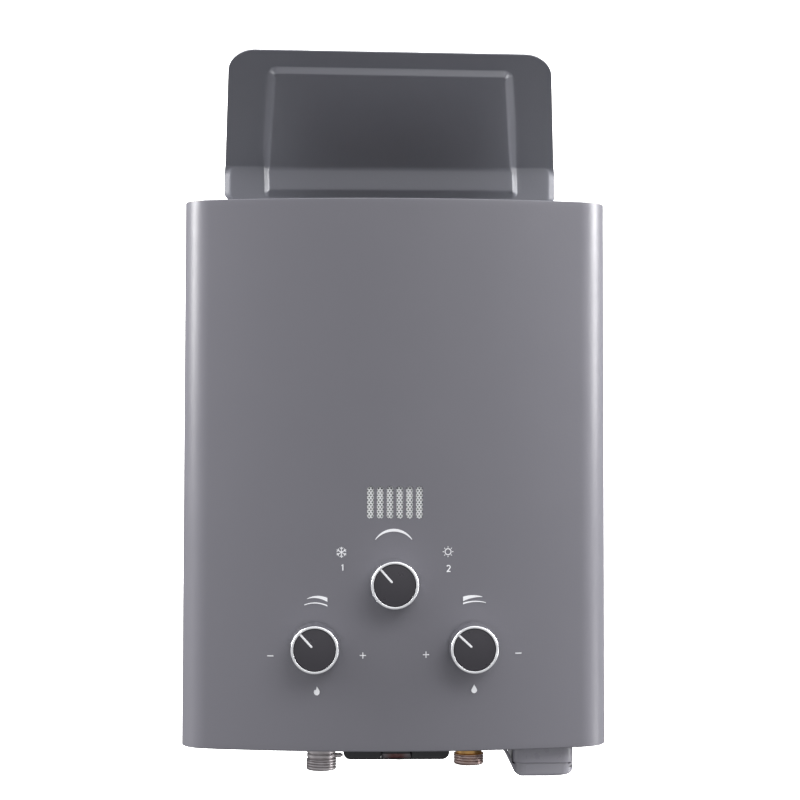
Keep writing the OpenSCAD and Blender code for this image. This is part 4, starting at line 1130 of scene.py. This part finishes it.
def build_marks():
    # arc over the upper knob, thick in the middle
    p0, p2 = (-13.0, -44.7), (11.45, -44.2)
    path = []
    for i in range(33):
        t = i / 32
        q = 2 * t - 1
        path.append((p0[0] + (p2[0] - p0[0]) * t, -38.2 - (15.0 - math.sqrt(15.0 ** 2 - (12.2 * q) ** 2))))
    front_mark("arc_mark", [band(path, [0.5 + 1.35 * (1 - (2 * i / 32 - 1) ** 2) for i in range(33)])])
    # snowflake with a plain digit under it, left
    cx, cz = -35.75, -53.0
    polys = []
    for k in range(3):
        a = rad(90 + 60 * k)
        polys.append(band([(cx - 3.6 * cos(a), cz - 3.6 * sin(a)), (cx + 3.6 * cos(a), cz + 3.6 * sin(a))], 0.55))
    for k in range(6):
        a = rad(90 + 60 * k)
        bx, bz = cx + 2.1 * cos(a), cz + 2.1 * sin(a)
        for s in (-1, 1):
            b = a + s * rad(50)
            polys.append(band([(bx, bz), (bx + 1.5 * cos(b), bz + 1.5 * sin(b))], 0.45))
    polys += digit("1", -34.75, -63.2, 4.0, 0.75)
    front_mark("cold_mark", polys)
    # sun ring with a digit under it, right
    cx, cz = 35.66, -52.65
    polys = ring_polys(cx, cz, 2.0, 0.6)
    for k in range(8):
        a = rad(45 * k)
        polys.append(band([(cx + 2.7 * cos(a), cz + 2.7 * sin(a)), (cx + 3.6 * cos(a), cz + 3.6 * sin(a))], 0.5))
    polys += digit("2", 36.0, -64.0, 4.4, 0.7)
    front_mark("warm_mark", polys)
    # wedges over the lower knobs
    def swoosh(x0, x1, top, bot):
        """outline between two bulging curves, each given by its heights at the start, middle and end"""
        def q(h, t):
            return h[0] * (1 - t) * (1 - 2 * t) + h[1] * 4 * t * (1 - t) + h[2] * t * (2 * t - 1)
        n = 16
        return [(x0 + (x1 - x0) * i / n, q(top, i / n)) for i in range(n + 1)] + [(x1 + (x0 - x1) * i / n, q(bot, 1 - i / n)) for i in range(n + 1)]
    front_mark("left_wedges", [swoosh(-58.6, -45.0, (-83.9, -82.1, -83.5), (-84.2, -83.7, -86.1)), swoosh(-60.4, -45.0, (-87.9, -86.5, -88.2), (-88.5, -87.2, -89.2))])
    front_mark("right_wedges", [swoosh(45.8, 58.8, (-82.8, -81.8, -82.8), (-85.8, -83.6, -83.1)), swoosh(45.8, 61.2, (-86.8, -85.6, -86.7), (-87.9, -86.3, -87.1))])
    # less and more at the ends of the travel
    w = 0.6
    polys = []
    for x, z, plus in ((-83.2, -122.4, False), (-21.2, -121.6, True), (20.95, -121.2, True), (83.3, -121.0, False)):
        polys.append(band([(x - 2.1, z), (x + 2.1, z)], w))
        if plus:
            polys += [band([(x, z - 2.1), (x, z + 2.1)], w)]
    front_mark("less_more_marks", polys)
    # flame under the left knob, drop under the right one
    cx, cz = -51.9, -145.5
    fl = [(0, 3.2), (0.9, 1.9), (1.7, 0.7), (2.0, -0.6), (1.6, -1.9), (0.6, -2.7), (-0.6, -2.7), (-1.6, -1.9), (-2.0, -0.7), (-1.6, 0.5), (-1.15, 1.2), (-0.75, 0.4), (-0.35, 1.6)]
    front_mark("flame_mark", [[(cx + a, cz + b) for a, b in fl]])
    cx, cz = 53.3, -144.4
    dr = [(0, 3.1)] + [(1.9 * cos(rad(a)), -0.8 + 1.9 * sin(rad(a))) for a in range(28, -209, -14)]
    front_mark("drop_mark", [[(cx + a, cz + b) for a, b in dr]])


build_marks()

# ---------------------------------------------------------------- the CAD pieces that are kept, with finishes
FINISH = {
    "zinc_sheet": ZINC, "stainless": STAINLESS, "screw_steel": SCREWM, "copper": COPPER, "brass": BRASS, "aged_brass": AGED,
    "nickel_brass": NICKEL, "cast_aluminium": CAST, "blue_coil": COILM, "black_rubber": RUBBER, "black_plastic": BLACKP,
    "grey_plastic": GREY_PLASTIC_LIGHTENED, "red_plastic": REDP, "clear_silicone": CLEAR, "red_silicone": LEADM, "ceramic_white": CERAM,
    "cell_jacket": CELL, "knob_chrome": CHROME, "knob_black": KNOBK, "casing_paint": PAINT, "hood_paint": HOOD_PAINT_DARKENED, "screen_metal": SCREEN_PAINTED_WHITE,
}
SLOT_OF = {r["node"]: r["material_slot"] for r in frame["record"]["subparts"]}
SHOWN = {o.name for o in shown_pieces()}
for name, ob in frame["nodes"].items():
    mat = FINISH[SLOT_OF[name]]
    # the flue collar takes the dark chamber steel as painted shade, so that its edge shows as a dark line over the
    # casing top
    if name in ("combustion_chamber", "flue_collar"):
        mat = HEAT_STAINED_AND_SHADE_STEEL
    ob.data.materials.clear()
    ob.data.materials.append(mat)
    for p in ob.data.polygons:
        p.material_index = 0
    if ob.name in SHOWN:
        m = ob.modifiers.new("soft edges", "BEVEL")
        m.width, m.segments, m.limit_method, m.angle_limit, m.use_clamp_overlap = 0.00025, 2, "ANGLE", rad(42), True
        m.harden_normals = False

# ---------------------------------------------------------------- camera
cam = bpy.data.objects.new("camera", bpy.data.cameras.new("camera"))
bpy.context.scene.collection.objects.link(cam)
bpy.context.scene.camera = cam
YAW, PITCH, ROLL = -0.03272394, 0.0434499, -0.00110361
R = Matrix.Rotation(YAW, 3, "Z") @ Matrix.Rotation(PITCH, 3, "X") @ Matrix.Rotation(ROLL, 3, "Y")
right, up, back = R @ Vector((1, 0, 0)), R @ Vector((0, 0, 1)), R @ Vector((0, -1, 0))
M = Matrix((right, up, back)).transposed().to_4x4()
M.translation = Vector((-0.00869015, -1.3534311, 0.02142932))
cam.matrix_world = M
cam.data.sensor_width = 36.0
cam.data.lens = 1825.2386 * 36.0 / 800.0
cam.data.shift_x = (400 - 442.046) / 800
cam.data.shift_y = (361.7382 - 400) / 800
cam.data.clip_start, cam.data.clip_end = 0.05, 40


# ---------------------------------------------------------------- stage
def stage_material(name, value):
    """white surface seen from its front only, so that views from behind or below stay open"""
    m, nt, bs = node_tree(name)
    v = coords(nt)
    link(nt, mix(nt, noise(nt, v, 3.0, 2), (value, value, value), (value * 0.99,) * 3), bs.inputs["Base Color"])
    bs.inputs["Roughness"].default_value = 0.9
    bs.inputs["Emission Color"].default_value = (1, 1, 1, 1)
    bs.inputs["Emission Strength"].default_value = 0.9
    geo = nt.nodes.new("ShaderNodeNewGeometry")
    tr = nt.nodes.new("ShaderNodeBsdfTransparent")
    mx = nt.nodes.new("ShaderNodeMixShader")
    link(nt, geo.outputs["Backfacing"], mx.inputs[0])
    link(nt, bs.outputs[0], mx.inputs[1])
    link(nt, tr.outputs[0], mx.inputs[2])
    link(nt, mx.outputs[0], nt.nodes["Material Output"].inputs["Surface"])
    return m


def stage_sheet():
    bm = bmesh.new()
    prof = [(-2600.0, -420.0), (300.0, -420.0)]
    for i in range(13):
        a = pi / 2 * i / 12
        prof.append((300 + 500 * sin(a), -420 + 500 * (1 - cos(a))))
    prof.append((800, 2600))
    rows = [verts(bm, [(x, y, z) for x in (-3000, 3000)]) for y, z in prof]
    fs = grid_faces(bm, rows)
    bmesh.ops.scale(bm, vec=(0.001,) * 3, verts=bm.verts)
    me = bpy.data.meshes.new("sweep")
    bm.to_mesh(me)
    bm.free()
    ob = add_object("sweep", me, [stage_material("white sweep", 0.92)])
    if sum(p.normal.z for p in me.polygons if p.center.z < -0.41) < 0:
        me.flip_normals()
    for p in me.polygons:
        p.use_smooth = True
    ob.visible_diffuse = False
    ob.visible_glossy = False
    ob.visible_shadow = False
    ob.visible_transmission = True


stage_sheet()


# ---------------------------------------------------------------- light
def area(name, loc, target, sx, sy, power, spread=pi):
    li = bpy.data.lights.new(name, "AREA")
    li.shape, li.size, li.size_y, li.energy, li.spread = "RECTANGLE", sx, sy, power, spread
    ob = bpy.data.objects.new(name, li)
    bpy.context.scene.collection.objects.link(ob)
    ob.location = loc
    ob.rotation_euler = (Vector(target) - Vector(loc)).to_track_quat("-Z", "Y").to_euler()
    return ob


area("front softbox", (1.1, -2.5, 1.75), (0, 0, 0.0), 1.8, 1.4, 35.5)
area("left strip", (-1.2, -0.1, 0.64), (0, -0.05, 0.12), 0.5, 1.1, 30.5)
area("right strip", (1.2, -0.1, 0.6), (0, -0.05, 0.12), 0.5, 1.1, 33)
area("low right strip", (1.15, -0.1, -0.42), (0, -0.05, -0.15), 0.35, 0.4, 2.2)
area("low left strip", (-1.15, -0.1, -0.42), (0, -0.05, -0.15), 0.35, 0.4, 0.3)


def world():
    w = bpy.data.worlds.new("studio")
    bpy.context.scene.world = w
    w.use_nodes = True
    nt = w.node_tree
    nt.nodes.clear()
    out = nt.nodes.new("ShaderNodeOutputWorld")
    tc = nt.nodes.new("ShaderNodeTexCoord")
    sep = nt.nodes.new("ShaderNodeSeparateXYZ")
    link(nt, tc.outputs["Generated"], sep.inputs[0])
    r = nt.nodes.new("ShaderNodeMapRange")
    r.inputs["From Min"].default_value, r.inputs["From Max"].default_value = -1, 1
    r.inputs["To Min"].default_value, r.inputs["To Max"].default_value = 0.25, 1.05
    link(nt, sep.outputs["Z"], r.inputs["Value"])
    far = nt.nodes.new("ShaderNodeMapRange")
    far.interpolation_type = "SMOOTHSTEP"
    far.inputs["From Min"].default_value, far.inputs["From Max"].default_value = -0.1, 0.75
    far.inputs["To Min"].default_value, far.inputs["To Max"].default_value = 1.0, 0.5
    link(nt, sep.outputs["Y"], far.inputs["Value"])
    both = nt.nodes.new("ShaderNodeMath")
    both.operation = "MULTIPLY"
    link(nt, r.outputs[0], both.inputs[0])
    link(nt, far.outputs[0], both.inputs[1])
    light = nt.nodes.new("ShaderNodeBackground")
    link(nt, both.outputs[0], light.inputs["Strength"])
    light.inputs["Color"].default_value = (0.97, 0.98, 1.0, 1)
    white = nt.nodes.new("ShaderNodeBackground")
    white.inputs["Strength"].default_value = 1.0
    white.inputs["Color"].default_value = (1, 1, 1, 1)
    lp = nt.nodes.new("ShaderNodeLightPath")
    mx = nt.nodes.new("ShaderNodeMixShader")
    link(nt, lp.outputs["Is Camera Ray"], mx.inputs[0])
    link(nt, light.outputs[0], mx.inputs[1])
    link(nt, white.outputs[0], mx.inputs[2])
    link(nt, mx.outputs[0], out.inputs["Surface"])


world()
vs = bpy.context.scene.view_settings
vs.view_transform = "Standard"
vs.look = "None"
vs.exposure = 0.0
